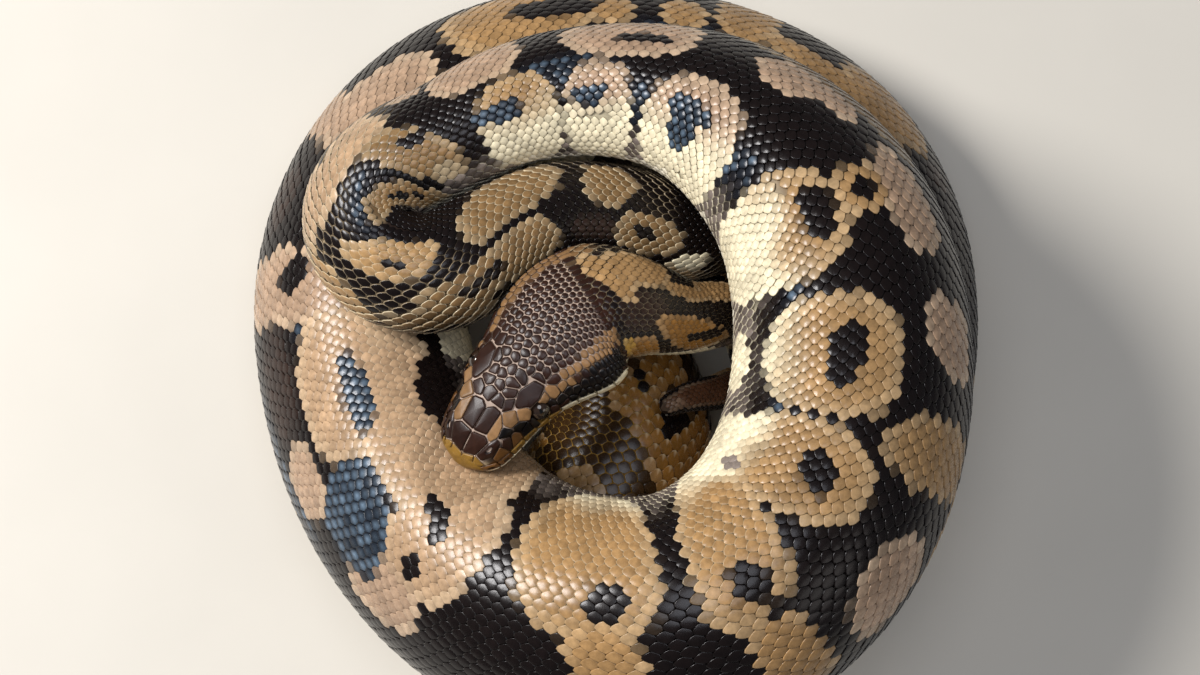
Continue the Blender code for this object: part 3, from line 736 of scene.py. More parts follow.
# %% [markdown]
# The skin's own colour shows only in the seams between scales. Between dark scales it is paler
# than they are, and between light ones it is darker, which draws the net of seams.
# %% One skin
def lay_skin():
    rings = np.concatenate([np.arange(0, head_rings), np.arange(head_rings, len(S_GRID) - 6, 2)])
    rings = np.concatenate([rings, np.arange(rings[-1] + 1, len(S_GRID))])
    columns = np.arange(0, ROUND, 2)
    s = np.repeat(S_GRID[rings][:, None], len(columns), 1)
    degrees = np.repeat(ANGLE[columns][None, :], len(rings), 0)
    depth = np.full(s.shape, COAT)
    for side in (1, -1):
        line = np.abs(degrees - side * mouth_degrees(s, side)) * girth_at(s) / 360
        depth += 0.75 * np.exp(-((line / 0.5) ** 2)) * smooth(MOUTH_END + 1, MOUTH_END - 2, s)
    place = OUTSIDE[rings][:, columns]
    for name, middle in EYES.items():
        near = np.linalg.norm(place - middle, axis=2) < 8
        depth += 2.6 * smooth(2.6, 2.0, off_axis(place, name)) * near
    place = place - OUT[rings][:, columns] * depth[..., None]
    place[..., 2] = np.maximum(place[..., 2], 0.1)
    colours = markings(s, degrees)
    net, shown = seams(s, degrees)
    dim = colours.sum(axis=2) < DARK
    colours = np.where(dim[..., None], mix(colours, net, np.maximum(0.4, shown)), colours * 0.55)
    crown = smooth(46, 43, s) * smooth(58, 48, np.abs(degrees)) * smooth(1, 3, s)
    colours = mix(colours, TONES["seam"] * 0.7, crown * 0.9)
    corners = np.concatenate([place.reshape(-1, 3), place[:1].mean(axis=1), place[-1:].mean(axis=1)])
    colours = np.concatenate([colours.reshape(-1, 3), colours[:1, 0], colours[-1:, 0]])
    loops, sizes, flat = skin_faces(rings, len(columns))
    return finish_mesh("skin", corners, loops, sizes, colours, flat)


skin = lay_skin()

# %% [markdown]
# ## One scale
# A python's body scale is a smooth flat hexagon, a little longer than wide, tucked in under its
# neighbours at the front and free at the rounded back. One is shaped here from a ten-sided
# prism: the top is inset and lifted to a bevel, then the rim is pulled to the outline.
# %% The scale's shape
for thing in bpy.context.selected_objects:
    thing.select_set(False)
bpy.ops.mesh.primitive_cylinder_add(
    vertices=10, radius=1, depth=0.3, end_fill_type="NGON", rotation=(0, 0, math.pi / 2))
bpy.ops.object.transform_apply(rotation=True)  # one corner now points to the tail
scale = bpy.context.object
scale.name = "scale_pattern"
bpy.ops.object.mode_set(mode="EDIT")
bpy.ops.mesh.select_all(action="DESELECT")
bpy.ops.object.mode_set(mode="OBJECT")
for face in scale.data.polygons:
    face.select = face.normal.z > 0.9
bpy.ops.object.mode_set(mode="EDIT")
bpy.ops.mesh.select_mode(type="FACE")
bpy.ops.transform.resize(value=(0.97, 0.97, 1))
bpy.ops.mesh.inset(thickness=0.12, depth=0.075)
bpy.ops.mesh.poke(offset=0.03)
bpy.ops.object.mode_set(mode="OBJECT")
SCALE_FACES = [tuple(face.vertices) for face in scale.data.polygons]
raw = np.array([v.co for v in scale.data.vertices])
bpy.data.objects.remove(scale, do_unlink=True)
print("ten-sided prism:", len(raw), "corners,", len(SCALE_FACES), "faces")

# %% [markdown]
# The prism's corners are now pulled to the outline of a scale, and its top is tipped up towards
# the free edge. Each corner also gets painted shade and highlight: painted shade on the sunken
# base, on the rim and where the front dips under the next scale, and a painted highlight along
# the free edge.
# %% Outline and shading of a scale
OUTLINE = [  # degrees round from the free tip, then mm towards the tail and mm to the side
    (0, 1.66, 0), (36, 1.36, 0.62), (72, 0.70, 1.16), (108, -0.06, 1.50), (144, -1.26, 0.66), (180, -1.42, 0),
]
SHOWN_LONG, SHOWN_WIDE = 2.8, 2.05  # mm from one scale to the next along a row, and from row to row
around = np.degrees(np.arctan2(raw[:, 1], raw[:, 0]))
spread = np.hypot(raw[:, 0], raw[:, 1])
mark, tailward, aside = np.array(OUTLINE).T
PROTO = np.stack([
    spread * np.interp(np.abs(around), mark, tailward),
    spread * np.interp(np.abs(around), mark, aside) * np.sign(around), raw[:, 2]], 1)
top = raw[:, 2] > 0
PROTO[:, 2] = np.where(top, raw[:, 2] + 0.15 + 0.14 * PROTO[:, 0] / 1.5, -0.12)
RIM = spread > 0.9
TOP_RIM = top & RIM
# painted shade: darkest on the sunken base ring, darker on the top rim, and darker still at the front, where
# it dips under the next scale
front = smooth(-0.5, -1.2, PROTO[:, 0])
PAINTED_SHADE_AND_HIGHLIGHT = np.where(top, np.where(RIM, 0.88 - 0.4 * front, 1 - 0.25 * front), 0.4)
# painted highlight along the free edge at the back of the top rim
PAINTED_SHADE_AND_HIGHLIGHT = PAINTED_SHADE_AND_HIGHLIGHT + 0.15 * TOP_RIM * smooth(0.9, 1.5, PROTO[:, 0])
# painted blue highlight on a dark scale: at its middle, and less towards its front
PAINTED_GLINT = top * ~RIM * np.where(spread < 0.1, 1.0, 0.4 * smooth(0.6, -1.2, PROTO[:, 0]))
# painted highlight at the free tip, for the scales in the hole
PAINTED_TIP_HIGHLIGHT = 0.9 * (top & (PROTO[:, 0] > 1.25))
print("one scale:", np.round(np.ptp(PROTO, axis=0), 2), "mm long, wide and high")

# %% [markdown]
# ## Rows of scales
# Some sixty rows run along the trunk, fewer on the neck and the tail. Rows are gained and lost
# in pairs on the flanks, as on the animal, so that neighbours always stay half a scale apart.
# Each row's width fades in, and a row thinner than about half carries no scales.
# %% Where the rows run
ROW_COUNT = [  # mm along, rows round the back and flanks
    (40, 42), (100, 41), (150, 41), (230, 43), (300, 47), (350, 54), (400, 60), (720, 60), (800, 54),
    (880, 47), (940, 39), (1010, 32), (1060, 22), (1101, 14),
]
PITCH = [  # mm along, mm from one scale to the next in its row
    (40, 1.55), (60, 1.65), (84, 1.8), (150, 2.2), (262, 2.4), (350, 2.7), (400, 2.8), (720, 2.8),
    (880, 2.6), (940, 2.9), (985, 2.5), (1060, 1.8), (1101, 1.3),
]
HALF_ROWS = 30  # rows on each side of the row on the spine
BELLY_SHARE = 0.117  # half the belly plates' share of the girth
LOST_FIRST = [10, 6, 12, 8, 4, 11, 7, 13, 9, 5, 3, 2, 1, 14, 0]  # pairs of rows, out from the spine
ROW_AT = np.arange(38, LENGTH + 2, 2.0)
wanted = through(ROW_COUNT, ROW_AT)
weight = np.ones((2 * HALF_ROWS + 1, len(ROW_AT)))
for rank, pair in enumerate(LOST_FIRST):
    rows_left = 2 * HALF_ROWS + 1 - 4 * (rank + 1)  # once this pair is gone from both flanks
    part = np.clip(((wanted - rows_left) / 4 - 0.5) * 2.5 + 0.5, 0, 1)
    for row in (2 * pair + 1, 2 * pair + 2):
        weight[HALF_ROWS + row] = weight[HALF_ROWS - row] = part
total = weight.sum(axis=0)
DORSAL = 1 - 2 * BELLY_SHARE
ROW_SHARE = ((np.cumsum(weight, axis=0) - weight / 2) / total - 0.5) * DORSAL
ROW_STEP = DORSAL / total
FINE_STEP = 0.25
fine = np.arange(38, LENGTH, FINE_STEP)
PHASE = np.concatenate([[0], np.cumsum(FINE_STEP / through(PITCH, fine[:-1]))])
print("rows:", int(total.max()), "at most,", int(total.min()), "at least; scales in a row:", int(PHASE[-1]))

# %% [markdown]
# Walking down each row in steps of one pitch gives the root of every scale. Odd rows start half a
# pitch later, which staggers them like roof tiles.
# %% Roots of the scales
THINNEST = 0.55  # a row thinner than this share of its width carries no scales


def scale_roots(start, end):
    """Distance along, share round and width, as a share, of each scale between start and end."""
    spots, shares, wide = [], [], []
    low, high = np.interp([start, end], fine, PHASE)
    for row in range(-HALF_ROWS, HALF_ROWS + 1):
        half = 0.5 * (row % 2)
        count = np.arange(math.ceil(low - half), math.ceil(high - half))
        s = np.interp(count + half, PHASE, fine)
        here = np.interp(s, ROW_AT, weight[row + HALF_ROWS])
        keep = here > THINNEST
        s, here = s[keep], here[keep]
        spots.append(s)
        shares.append(np.interp(s, ROW_AT, ROW_SHARE[row + HALF_ROWS]))
        wide.append(here * np.interp(s, ROW_AT, ROW_STEP))
    return np.concatenate(spots), np.concatenate(shares), np.concatenate(wide)


print("scales between 400 and 500 mm:", len(scale_roots(400, 500)[0]))

# %% [markdown]
# A scale has one marking, taken at its root, and its corners only shade that, with painted shade
# and painted highlights. Seams, pale rims and dark gaps differ from one stretch of the body to
# another. Seams and pale rims do so as on the animal, because the skin is drawn open in tight
# bends and the scales stand apart there; the dark gaps are painted shade along the top rims of
# dark scales where no seam shows.
# %% Colours of the scales
dice = np.random.default_rng(5)


def scale_colours(s, share):
    """The colour of every corner of the scales with these roots."""
    colour = markings(s, share * 360) * dice.normal(1, 0.07, len(s))[:, None]
    light = colour.sum(axis=1)
    colours = colour[:, None, :] * PAINTED_SHADE_AND_HIGHLIGHT[None, :, None]
    net, shown = seams(s, share * 360)
    shown = shown * (light < 0.55)
    net = np.broadcast_to(net[:, None, :] * 1.15, colours.shape)
    colours = mix(colours, net, shown[:, None] * RIM[None, :])
    # dark scales with the painted blue sheen also get a painted blue highlight at their middle
    bluish = smooth(1.5, 2.2, colour[:, 2] / colour[:, 0]) * (light < 0.2)
    painted_glint = bluish[:, None] * PAINTED_GLINT[None, :] * dice.uniform(0.1, 0.9, (len(s), 1))
    colours = mix(colours, TONES["painted_glint"], painted_glint)
    gap = 0.5 * (light < DARK) * (1 - shown)  # painted shade on the top rims of dark scales, for dark gaps between them
    colours = colours * (1 - gap[:, None] * TOP_RIM[None, :])[..., None]
    pale_rim = 0.3 * smooth(430, 450, s) * smooth(615, 600, s) * smooth(20, 45, share * 360)
    pale_rim = (pale_rim + 0.42 * smooth(140, 150, s) * smooth(262, 250, s)) * (light > 0.25)
    colours = mix(colours, TONES["cream"], pale_rim[:, None] * TOP_RIM[None, :])
    # a painted highlight at the free tips of the scales between 930 and 972 mm
    tip_highlight = smooth(930, 940, s) * smooth(972, 962, s) * (light > 0.2)
    return mix(colours, TONES["net"] * 1.6, tip_highlight[:, None] * PAINTED_TIP_HIGHLIGHT[None, :])


print("corners of a scale that can shine blue:", int((PAINTED_GLINT > 0).sum()), "of", len(PROTO))

# %% [markdown]
# Each scale is bent onto the body corner by corner. Where a bend stretches the skin, the scales
# lengthen only so far, and then skin shows between them; where it crowds the skin, they slide over
# each other like tiles. On the map each scale is a tiny patch at its root, so it takes one colour.
# %% The coat of scales
SCALES_FROM, SCALES_TO = 45.4, LENGTH - 2.2
TIGHTEST, LOOSEST = 0.74, 1.5  # how far a scale may shrink in a crowded bend or grow in an open one
PATCH = 0.003  # size of a scale on the map


def lay_scales(name, start, end):
    s, share, wide = scale_roots(start, end)
    pitch = through(PITCH, s)
    tight = np.maximum(stretch(s, share), 0.3)
    length = pitch / SHOWN_LONG * np.clip(1.0, TIGHTEST / tight, LOOSEST / tight)
    length = length * dice.uniform(0.97, 1.04, len(s))
    u, v, w = PROTO.T
    turn = dice.normal(0, 0.03, len(s))[:, None]
    tall = (0.5 + 0.5 * np.minimum(wide * girth_at(s) / SHOWN_WIDE, 1.0))[:, None]
    along = s[:, None] + (u[None, :] - turn * v) * length[:, None]
    round_ = share[:, None] + (v[None, :] + turn * u) * (wide / SHOWN_WIDE)[:, None]
    along = np.clip(along, 0.5, LENGTH - 0.5)
    place, out = on_body(along, round_)
    lift = w[None, :] * tall * dice.uniform(0.9, 1.1, len(s))[:, None] - COAT + 0.06
    place = place + out * lift[..., None]
    place[..., 2] = np.maximum(place[..., 2], 0.02)
    colours = scale_colours(s, share)
    loops, sizes = stretch_out(SCALE_FACES, len(s), len(PROTO))
    root = np.stack([0.01 + 0.97 * (s - start) / (end - start), 0.01 + 0.97 * (share + 0.5)], 1)
    patch = root[:, None, :] + PROTO[None, :, :2] / 3 * PATCH
    flat = patch.reshape(-1, 2)[loops]
    return finish_mesh(name, place.reshape(-1, 3), loops, sizes, colours.reshape(-1, 3), flat), len(s)


def crisp(piece):
    """Shading that keeps the big faces flat and lets the narrow bevels turn the corner."""
    for thing in bpy.context.selected_objects:
        thing.select_set(False)
    bpy.context.view_layer.objects.active = piece
    piece.select_set(True)
    bpy.ops.object.modifier_add(type="WEIGHTED_NORMAL")
    piece.modifiers[-1].weight = 80
    bpy.ops.object.modifier_apply(modifier=piece.modifiers[-1].name)
    piece.select_set(False)


COATS, laid = [], 0
BORDERS = [SCALES_FROM, 205, 335, 445, 550, 660, 785, 938, SCALES_TO]  # mm; keeps each piece small
for number, (start, end) in enumerate(zip(BORDERS, BORDERS[1:])):
    coat, count = lay_scales(f"scales_{number + 1}", start, end)
    crisp(coat)
    COATS.append(coat)
    laid += count
print("scales laid:", laid)

# %% [markdown]
# ## Belly plates
# A python walks on about two hundred broad plates, one behind the other, each as wide as the
# belly, and smaller ones follow under the tail. They are smooth and pale, tucked in at the front
# with a free edge behind. One plate is a grid of squares with a rim and a flat underside, and
# the same grid is bent under the body again and again.
# %% Faces of one plate
DOWN, OVER = 3, 14  # squares along and across one plate


def plate_faces():
    """Corners of the plate's edge in order, and its faces."""
    edge = [(i, 0) for i in range(DOWN + 1)] + [(DOWN, j) for j in range(1, OVER + 1)]
    edge += [(i, OVER) for i in range(DOWN - 1, -1, -1)] + [(0, j) for j in range(OVER - 1, 0, -1)]
    edge = np.array([i * (OVER + 1) + j for i, j in edge])
    under = (DOWN + 1) * (OVER + 1)  # the first corner of the underside
    faces = []
    for i in range(DOWN):
        for j in range(OVER):
            k = i * (OVER + 1) + j
            faces.append((k, k + OVER + 1, k + OVER + 2, k + 1))
    for n in range(len(edge)):
        m = (n + 1) % len(edge)
        faces.append((edge[m], edge[n], under + n, under + m))
    faces.append(tuple(range(under + len(edge) - 1, under - 1, -1)))
    return edge, faces


print("faces of a plate:", len(plate_faces()[1]))

# %% [markdown]
# Each plate is nearly as long as two scales. It bows towards the tail at its middle, and overlaps
# the next one a little, so no skin shows along the belly.
# %% Plates under the belly
PLATES_FROM, PLATE_LONG = 50.0, 1.85  # mm along, and the length of a plate in scales
BELLY_DEGREES = 42  # half the belly's angle in the markings


def lay_plates():
    spots = [PLATES_FROM]
    while spots[-1] < LENGTH - 6:
        spots.append(spots[-1] + PLATE_LONG * float(through(PITCH, np.array(spots[-1]))))
    s = np.array(spots)
    step = PLATE_LONG * through(PITCH, s)
    u, v = np.meshgrid(np.linspace(-0.56, 0.58, DOWN + 1), np.linspace(-1, 1, OVER + 1), indexing="ij")
    u, v = u.ravel(), v.ravel()
    edge, faces = plate_faces()
    u_all, v_all = np.concatenate([u, u[edge]]), np.concatenate([v, v[edge]])
    high = 0.2 + 0.25 * (u + 0.56) - 0.12 * (np.abs(v) > 0.99) - 0.1 * (u < -0.5)
    w = np.concatenate([high, np.full(len(edge), -0.15)])
    bow = 0.22 * (1 - v_all**2)  # the free edge curves back at the middle
    along = s[:, None] + (u_all + bow * (u_all > -0.5))[None, :] * step[:, None]
    share = 0.5 + v_all[None, :] * (BELLY_SHARE + 0.004)
    place, out = on_body(np.clip(along, 0.5, LENGTH - 0.5), np.broadcast_to(share, along.shape))
    place = place + out * (w[None, :] - COAT + 0.02)[..., None]
    place[..., 2] = np.maximum(place[..., 2], 0.01)
    degrees = (v_all * BELLY_DEGREES + 180 + 180) % 360 - 180
    colours = markings(np.repeat(s[:, None], len(w), 1), np.repeat(degrees[None, :], len(s), 0))
    loops, sizes = stretch_out(faces, len(s), len(w))
    flat = np.stack([0.01 + 0.97 * along / LENGTH, np.broadcast_to(0.3 + 0.2 * v_all, along.shape)], 2)
    flat = flat.reshape(-1, 2)[loops]
    print("belly plates:", len(s))
    return finish_mesh("belly_plates", place.reshape(-1, 3), loops, sizes, colours.reshape(-1, 3), flat)


belly = lay_plates()

# %% [markdown]
# ## Shields of the head
# The head is tiled with many small flat scales, larger on the snout and between the eyes. The
# tiling is laid out flat, as a map of the head: distance along the crown, and distance round
# from the midline. Large shields are drawn by their corners; the rest grow from seeds, each
# taking the ground nearest to it, which is how such mosaics look in nature.
# %% The map of the head
HEAD_TO = 45.2
RUN = np.concatenate([[0], np.cumsum(np.linalg.norm(np.diff(OUTSIDE[:head_rings, 0], axis=0), axis=1))])


def to_map(s, degrees):
    x = np.interp(s, S_GRID[:head_rings], RUN)
    return np.stack([x, np.asarray(degrees) / 360 * girth_at(s)], -1)


def from_map(place):
    s = np.interp(place[..., 0], RUN, S_GRID[:head_rings])
    return s, np.clip(place[..., 1] / girth_at(s), -0.5, 0.5)


def clipped(shape, point, way):
    """The part of a convex outline that lies behind the line through point, across way."""
    kept = []
    side = (shape - point) @ way
    for i in range(len(shape)):
        j = (i + 1) % len(shape)
        if side[i] <= 0:
            kept.append(shape[i])
        if side[i] * side[j] < 0:
            kept.append(shape[i] + side[i] / (side[i] - side[j]) * (shape[j] - shape[i]))
    return np.array(kept)


def nearest_on(shape, point):
    """The nearest place on an outline to a point outside it."""
    start, run = shape, np.roll(shape, -1, axis=0) - shape
    t = np.clip(((point - start) * run).sum(1) / np.maximum((run**2).sum(1), 1e-9), 0, 1)
    place = start + t[:, None] * run
    return place[np.argmin(np.linalg.norm(place - point, axis=1))]


print("map of the head:", round(RUN[-1]), "mm long")

# %% [markdown]
# The large shields have names in every snake book, and each species wears its own set. They are
# drawn by their corners, in mm along and degrees from the midline. The row along each lip follows
# the mouth, and its first upper shields hold the pits with which a python feels warmth.
# %% Large shields
def labials(marks, side, gap, tall):
    """Shields along the lip between the marks: tall is their height, gap their start, off the mouth."""
    rows = []
    off = np.array([0.0, side])
    for ends in zip(marks, marks[1:]):
        front, back = [to_map(s, side * mouth_degrees(s, side)) for s in ends]
        near, far = gap * off, (gap + tall) * off
        rows.append(np.array([front + near, back + near, back + far, front + far]))
    return rows


UPPER_LIP = [1.2, 4.4, 8, 12, 16, 19.8, 23.6, 27.6, 32, 37, 42.5]
LOWER_LIP = [1.2, 4, 7, 10.2, 13.6, 17, 20.4, 24, 28, 32.5, 37.5, 42.5]
TOP_SHIELDS = [
    [(2.0, 0), (7.4, 0), (8.0, 24), (7.0, 34), (3.0, 30)],  # between the nostrils
    [(7.4, 0), (13.4, 0), (14.6, 10), (14.2, 24), (8.0, 24)],  # in front of the brow
    [(3.0, 30), (7.0, 34), (8.9, 41), (8.6, 52), (5.0, 58), (2.6, 48)],  # round the nostril
    [(8.0, 24), (14.2, 24), (11.8, 36.5), (8.9, 41), (7.0, 34)],  # three along the canthus
    [(14.2, 24), (16.6, 37), (14.6, 53), (12.4, 50), (11.8, 36.5)],
    [(16.6, 37), (18.6, 46), (18.8, 56), (16.6, 64), (14.6, 53)],
    [(17.0, 32), (20.6, 24), (24.6, 30), (25.2, 44), (22.4, 51), (18.9, 51), (18.6, 46), (16.6, 37)],  # brow
]
NOSTRIL_SHIELD, HEAT_PITS = 2, 4  # the shield with the nostril, and the upper lip shields with a pit
NOSTRIL, HEAT_PIT = 0.3, 0.34  # width of the opening, as a share of its shield
shields, pits = [], []  # the outlines on the map, and the opening in each
for side in (LEFT, RIGHT):
    for n, row in enumerate(labials(UPPER_LIP, side, -0.22, -2.7)):
        shields.append(row)
        pits.append(HEAT_PIT if n < HEAT_PITS else None)
    for row in labials(LOWER_LIP, side, 0.22, 2.3):
        shields.append(row)
        pits.append(None)
    for n, row in enumerate(TOP_SHIELDS):
        marks = np.array(row, dtype=float)
        marks[:, 1] += (side == RIGHT) * 5 * smooth(8, 40, marks[:, 1])  # lower on the right
        shields.append(to_map(marks[:, 0], side * marks[:, 1]))
        pits.append(NOSTRIL if n == NOSTRIL_SHIELD else None)
print("large shields:", len(shields))

# %% [markdown]
# The eyes need round openings in the mosaic. Each opening is centred where the eyeball comes
# nearest to the surface, and the seeds keep out of it.
# %% Openings for the eyes
OPENING = 2.25  # mm, its radius


def circle(corners):
    """Corners of a regular outline of radius 1."""
    turn = np.linspace(0, 2 * math.pi, corners, endpoint=False)
    return np.stack([np.cos(turn), np.sin(turn)], 1)


OPENINGS = []
for name, middle in EYES.items():
    gap = np.linalg.norm(OUTSIDE[:head_rings] - middle - 2.7 * EYE_OUT[name], axis=2)
    k, j = np.unravel_index(np.argmin(gap), gap.shape)
    OPENINGS.append(to_map(S_GRID[k], ANGLE[j]) + OPENING * circle(16))
    print(name, "opens at", round(float(S_GRID[k]), 1), "mm,", ANGLE[j], "degrees")

# %% [markdown]
# Small scales start as seeds in staggered rows across the head. A little seeded chance keeps the
# mosaic from looking machined, and it fades out towards the neck, where the even rows of the
# body begin. A ring of up to twelve goes round each eye.
# %% Seeds of the small head scales
SIZE = [(1, 2.0), (8, 2.6), (14, 2.9), (20, 2.7), (26, 2.35), (32, 2.05), (38, 1.75), (46, 1.4)]
EYE_RING, EYE_RING_SIZE = 3.15, 1.8  # mm: radius of the ring round the eye, and size of its scales


def inside(shape, point, margin):
    """Whether a point lies in an outline, or within the margin of it."""
    near = nearest_on(shape, point)
    middle = shape.mean(axis=0)
    gap = np.linalg.norm(near - point)
    between = (point - near) @ (middle - near) > 0
    return between or gap < margin


def sow_seeds():
    seeds, sizes = [], []
    for opening in OPENINGS:
        seeds += list(opening.mean(axis=0) + EYE_RING * circle(12))
    sizes += [EYE_RING_SIZE] * len(seeds)
    rims = list(seeds)
    x, row = RUN[np.searchsorted(S_GRID, 1.4)], 0
    while x < np.interp(HEAD_TO, S_GRID[:head_rings], RUN):
        s = float(np.interp(x, RUN, S_GRID[:head_rings]))
        size = float(through(SIZE, np.array(s)))
        half = float(girth_at(s)) / 2
        for k in range(-60, 61):
            y = (k + 0.5 * (row % 2)) * size
            if abs(y) > half - 0.3 * size:
                continue
            spot = np.array([x, y]) + dice.uniform(-0.2, 0.2, 2) * size * smooth(45, 36, s)
            if any(np.linalg.norm(spot - rim) < 1.6 for rim in rims):
                continue
            if any(np.linalg.norm(spot - opening.mean(axis=0)) < 3.2 for opening in OPENINGS):
                continue
            if any(inside(shape, spot, 0.3 * size) for shape in shields):
                continue
            seeds.append(spot)
            sizes.append(size)
        x += 0.87 * size
        row += 1
    keep = [n for n, spot in enumerate(seeds) if not any(inside(shape, spot, 0.35) for shape in shields)]
    return np.array(seeds)[keep], np.array(sizes)[keep]


seeds, seed_sizes = sow_seeds()
print("small head scales:", len(seeds))

# %% [markdown]
# Each seed's cell starts as a twelve-sided outline and is cut back along the line between it and
# each neighbour, a little nearer to the smaller of the two, and then along any large shield.
# %% Cells round the seeds
def grow_cells():
    cells = []
    blocks = shields + OPENINGS
    middles = np.array([b.mean(axis=0) for b in blocks])
    for spot, size in zip(seeds, seed_sizes):
        reach = 1.3 * size
        cell = spot + reach * circle(12)
        gap = np.linalg.norm(seeds - spot, axis=1)
        for m in np.argsort(gap)[1:16]:
            if gap[m] > 3.2 * size:
                break
            balance = 0.5 + (size**2 - seed_sizes[m] ** 2) / (8 * gap[m] ** 2)
            cell = clipped(cell, spot + (seeds[m] - spot) * balance, seeds[m] - spot)
        for b in np.where(np.linalg.norm(middles - spot, axis=1) < 3 * size + 5)[0]:
            near = nearest_on(blocks[b], spot)
            if np.linalg.norm(near - spot) < reach:
                cell = clipped(cell, near, near - spot)
        if len(cell) > 2:
            cells.append(cell)
    return cells


cells = grow_cells()
print("cells:", len(cells))

# %% [markdown]
# A shield is a low dome. Its outline has its corners cut, its rim is sunk below its neighbours'
# tops, and rings of faces climb from the rim to the middle. A nostril or a heat pit is the same
# dome with its middle pushed in.
# %% The form of one shield
CORNER_CUT = 0.3  # mm, and at most the same share of a side


def rounded(shape):
    """The outline with each corner cut off once."""
    corners = []
    for way in (1, -1):
        side = np.roll(shape, way, axis=0) - shape
        share = np.minimum(CORNER_CUT, CORNER_CUT / np.maximum(np.linalg.norm(side, axis=1), 1e-6))
        corners.append(shape + share[:, None] * side)
    return np.stack(corners, 1).reshape(-1, 2)


def twice_area(shape):
    """Twice the area of an outline, negative when its corners run clockwise."""
    return np.cross(shape, np.roll(shape, -1, axis=0)).sum()


def dome(shape, pit):
    """The middle, the outline and the rings of one shield: shares of the outline, and heights in mm."""
    middle = shape.mean(axis=0)
    size = math.sqrt(abs(twice_area(shape)) / 2)
    shape = middle + (rounded(shape) - middle) * (1 - 0.07 / max(size / 2, 0.3))
    high = min(0.36, 0.16 + 0.07 * size)
    rim = 1 - 0.16 / max(size, 0.6)
    rings = [(1.0, -0.1), (rim, high * 0.8), (rim - 0.14, high), (0.0, high + 0.03)]
    if pit:
        rings = [(1.0, -0.1), (rim, high * 0.8), (pit + 0.12, high), (pit, high - 0.12),
                 (pit * 0.6, -0.5), (0.0, -0.7)]
    return middle, shape, rings


def shield_faces(n, rings):
    """Faces of a shield of n sides: rings of squares, a fan to the middle, and the underside."""
    ring = np.arange(n)
    after = (ring + 1) % n
    faces = []
    for level in range(rings - 2):
        a, b = level * n, (level + 1) * n
        faces += list(np.stack([a + ring, a + after, b + after, b + ring], 1))
    last = (rings - 2) * n
    faces += list(np.stack([last + ring, last + after, np.full(n, last + n)], 1))
    faces.append(ring[::-1])
    return faces


print("area of the first large shield:", round(abs(twice_area(shields[0])) / 2, 1), "square mm")

# %% [markdown]
# Laying a shield works like laying a scale: its corners go from the map onto the head, its tone
# is that of the marking at its middle, with painted shade on its sunk rim and deep in a nostril or
# pit, and its rim is paler on the crown, where thin skin shows.
# %% The mosaic of the head
SMALLEST = 0.5  # square mm, twice the area: a thinner sliver is left out
CROWN_DEGREES = 70  # the pale seams end this far from the midline


def lay_shield(shape, pit):
    """Corners, colours, faces and map of one shield."""
    middle, shape, rings = dome(shape, pit)
    n = len(shape)
    laid = [middle + share * (shape - middle) for share, _ in rings[:-1]] + [middle[None]]
    high = np.concatenate([np.full(n, rise) for _, rise in rings[:-1]] + [[rings[-1][1]]])
    spots = np.concatenate(laid)
    place, out = on_body(*from_map(spots))
    place = place + out * (high - COAT + 0.08)[:, None]
    s, share = from_map(middle)
    tone = markings(np.array([s]), np.array([share * 360]))[0] * dice.normal(1, 0.09)
    # painted shade: darker on the sunk rim, and darkest deep inside a nostril or heat pit
    shade = np.ones(len(spots))
    shade[:n], shade[n : 2 * n] = 0.8, 0.95
    if pit:
        shade[-2 * n - 1 : -n - 1], shade[-n - 1 :] = 0.4, 0.12
    tones = tone[None, :] * shade[:, None]
    pale = np.full(n, 0.6 if abs(share) * 360 < CROWN_DEGREES else 0.0)
    tones[:n] = mix(tones[:n], TONES["seam"] * 1.25, pale)
    faces = shield_faces(n, len(rings))
    root = np.array([0.01 + 0.9 * s / 50, 0.02 + 0.95 * (share + 0.5)])
    size = max(np.abs(spots - middle).max(), 0.5)
    return place, tones, faces, root + (spots - middle) / size * PATCH / 2


def lay_shields(outlines, openings):
    corners, loops, sizes, colours, flat = [], [], [], [], []
    count = 0
    for shape, pit in zip(outlines, openings):
        if abs(twice_area(shape)) < SMALLEST:
            continue
        shape = shape if twice_area(shape) > 0 else shape[::-1]
        place, tones, faces, patch = lay_shield(shape, pit)
        run = np.concatenate(faces)
        corners.append(place)
        colours.append(tones)
        loops.append(run + count)
        sizes += [len(face) for face in faces]
        flat.append(patch[run])
        count += len(place)
    return finish_mesh("head_shields", np.concatenate(corners), np.concatenate(loops), np.array(sizes),
                       np.concatenate(colours), np.concatenate(flat))


head_coat = lay_shields(cells + shields, [None] * len(cells) + pits)
crisp(head_coat)

# %% [markdown]
# The shield at the tip of the snout and the one at the tip of the chin wrap over the blunt end,
# where the map of the head has its pole, so they are laid straight onto the ring there.
# %% Tip shields
TIP_RINGS = [(1.5, -0.15), (1.25, 0.3), (0.6, 0.42)]  # mm from the tip, and height in mm


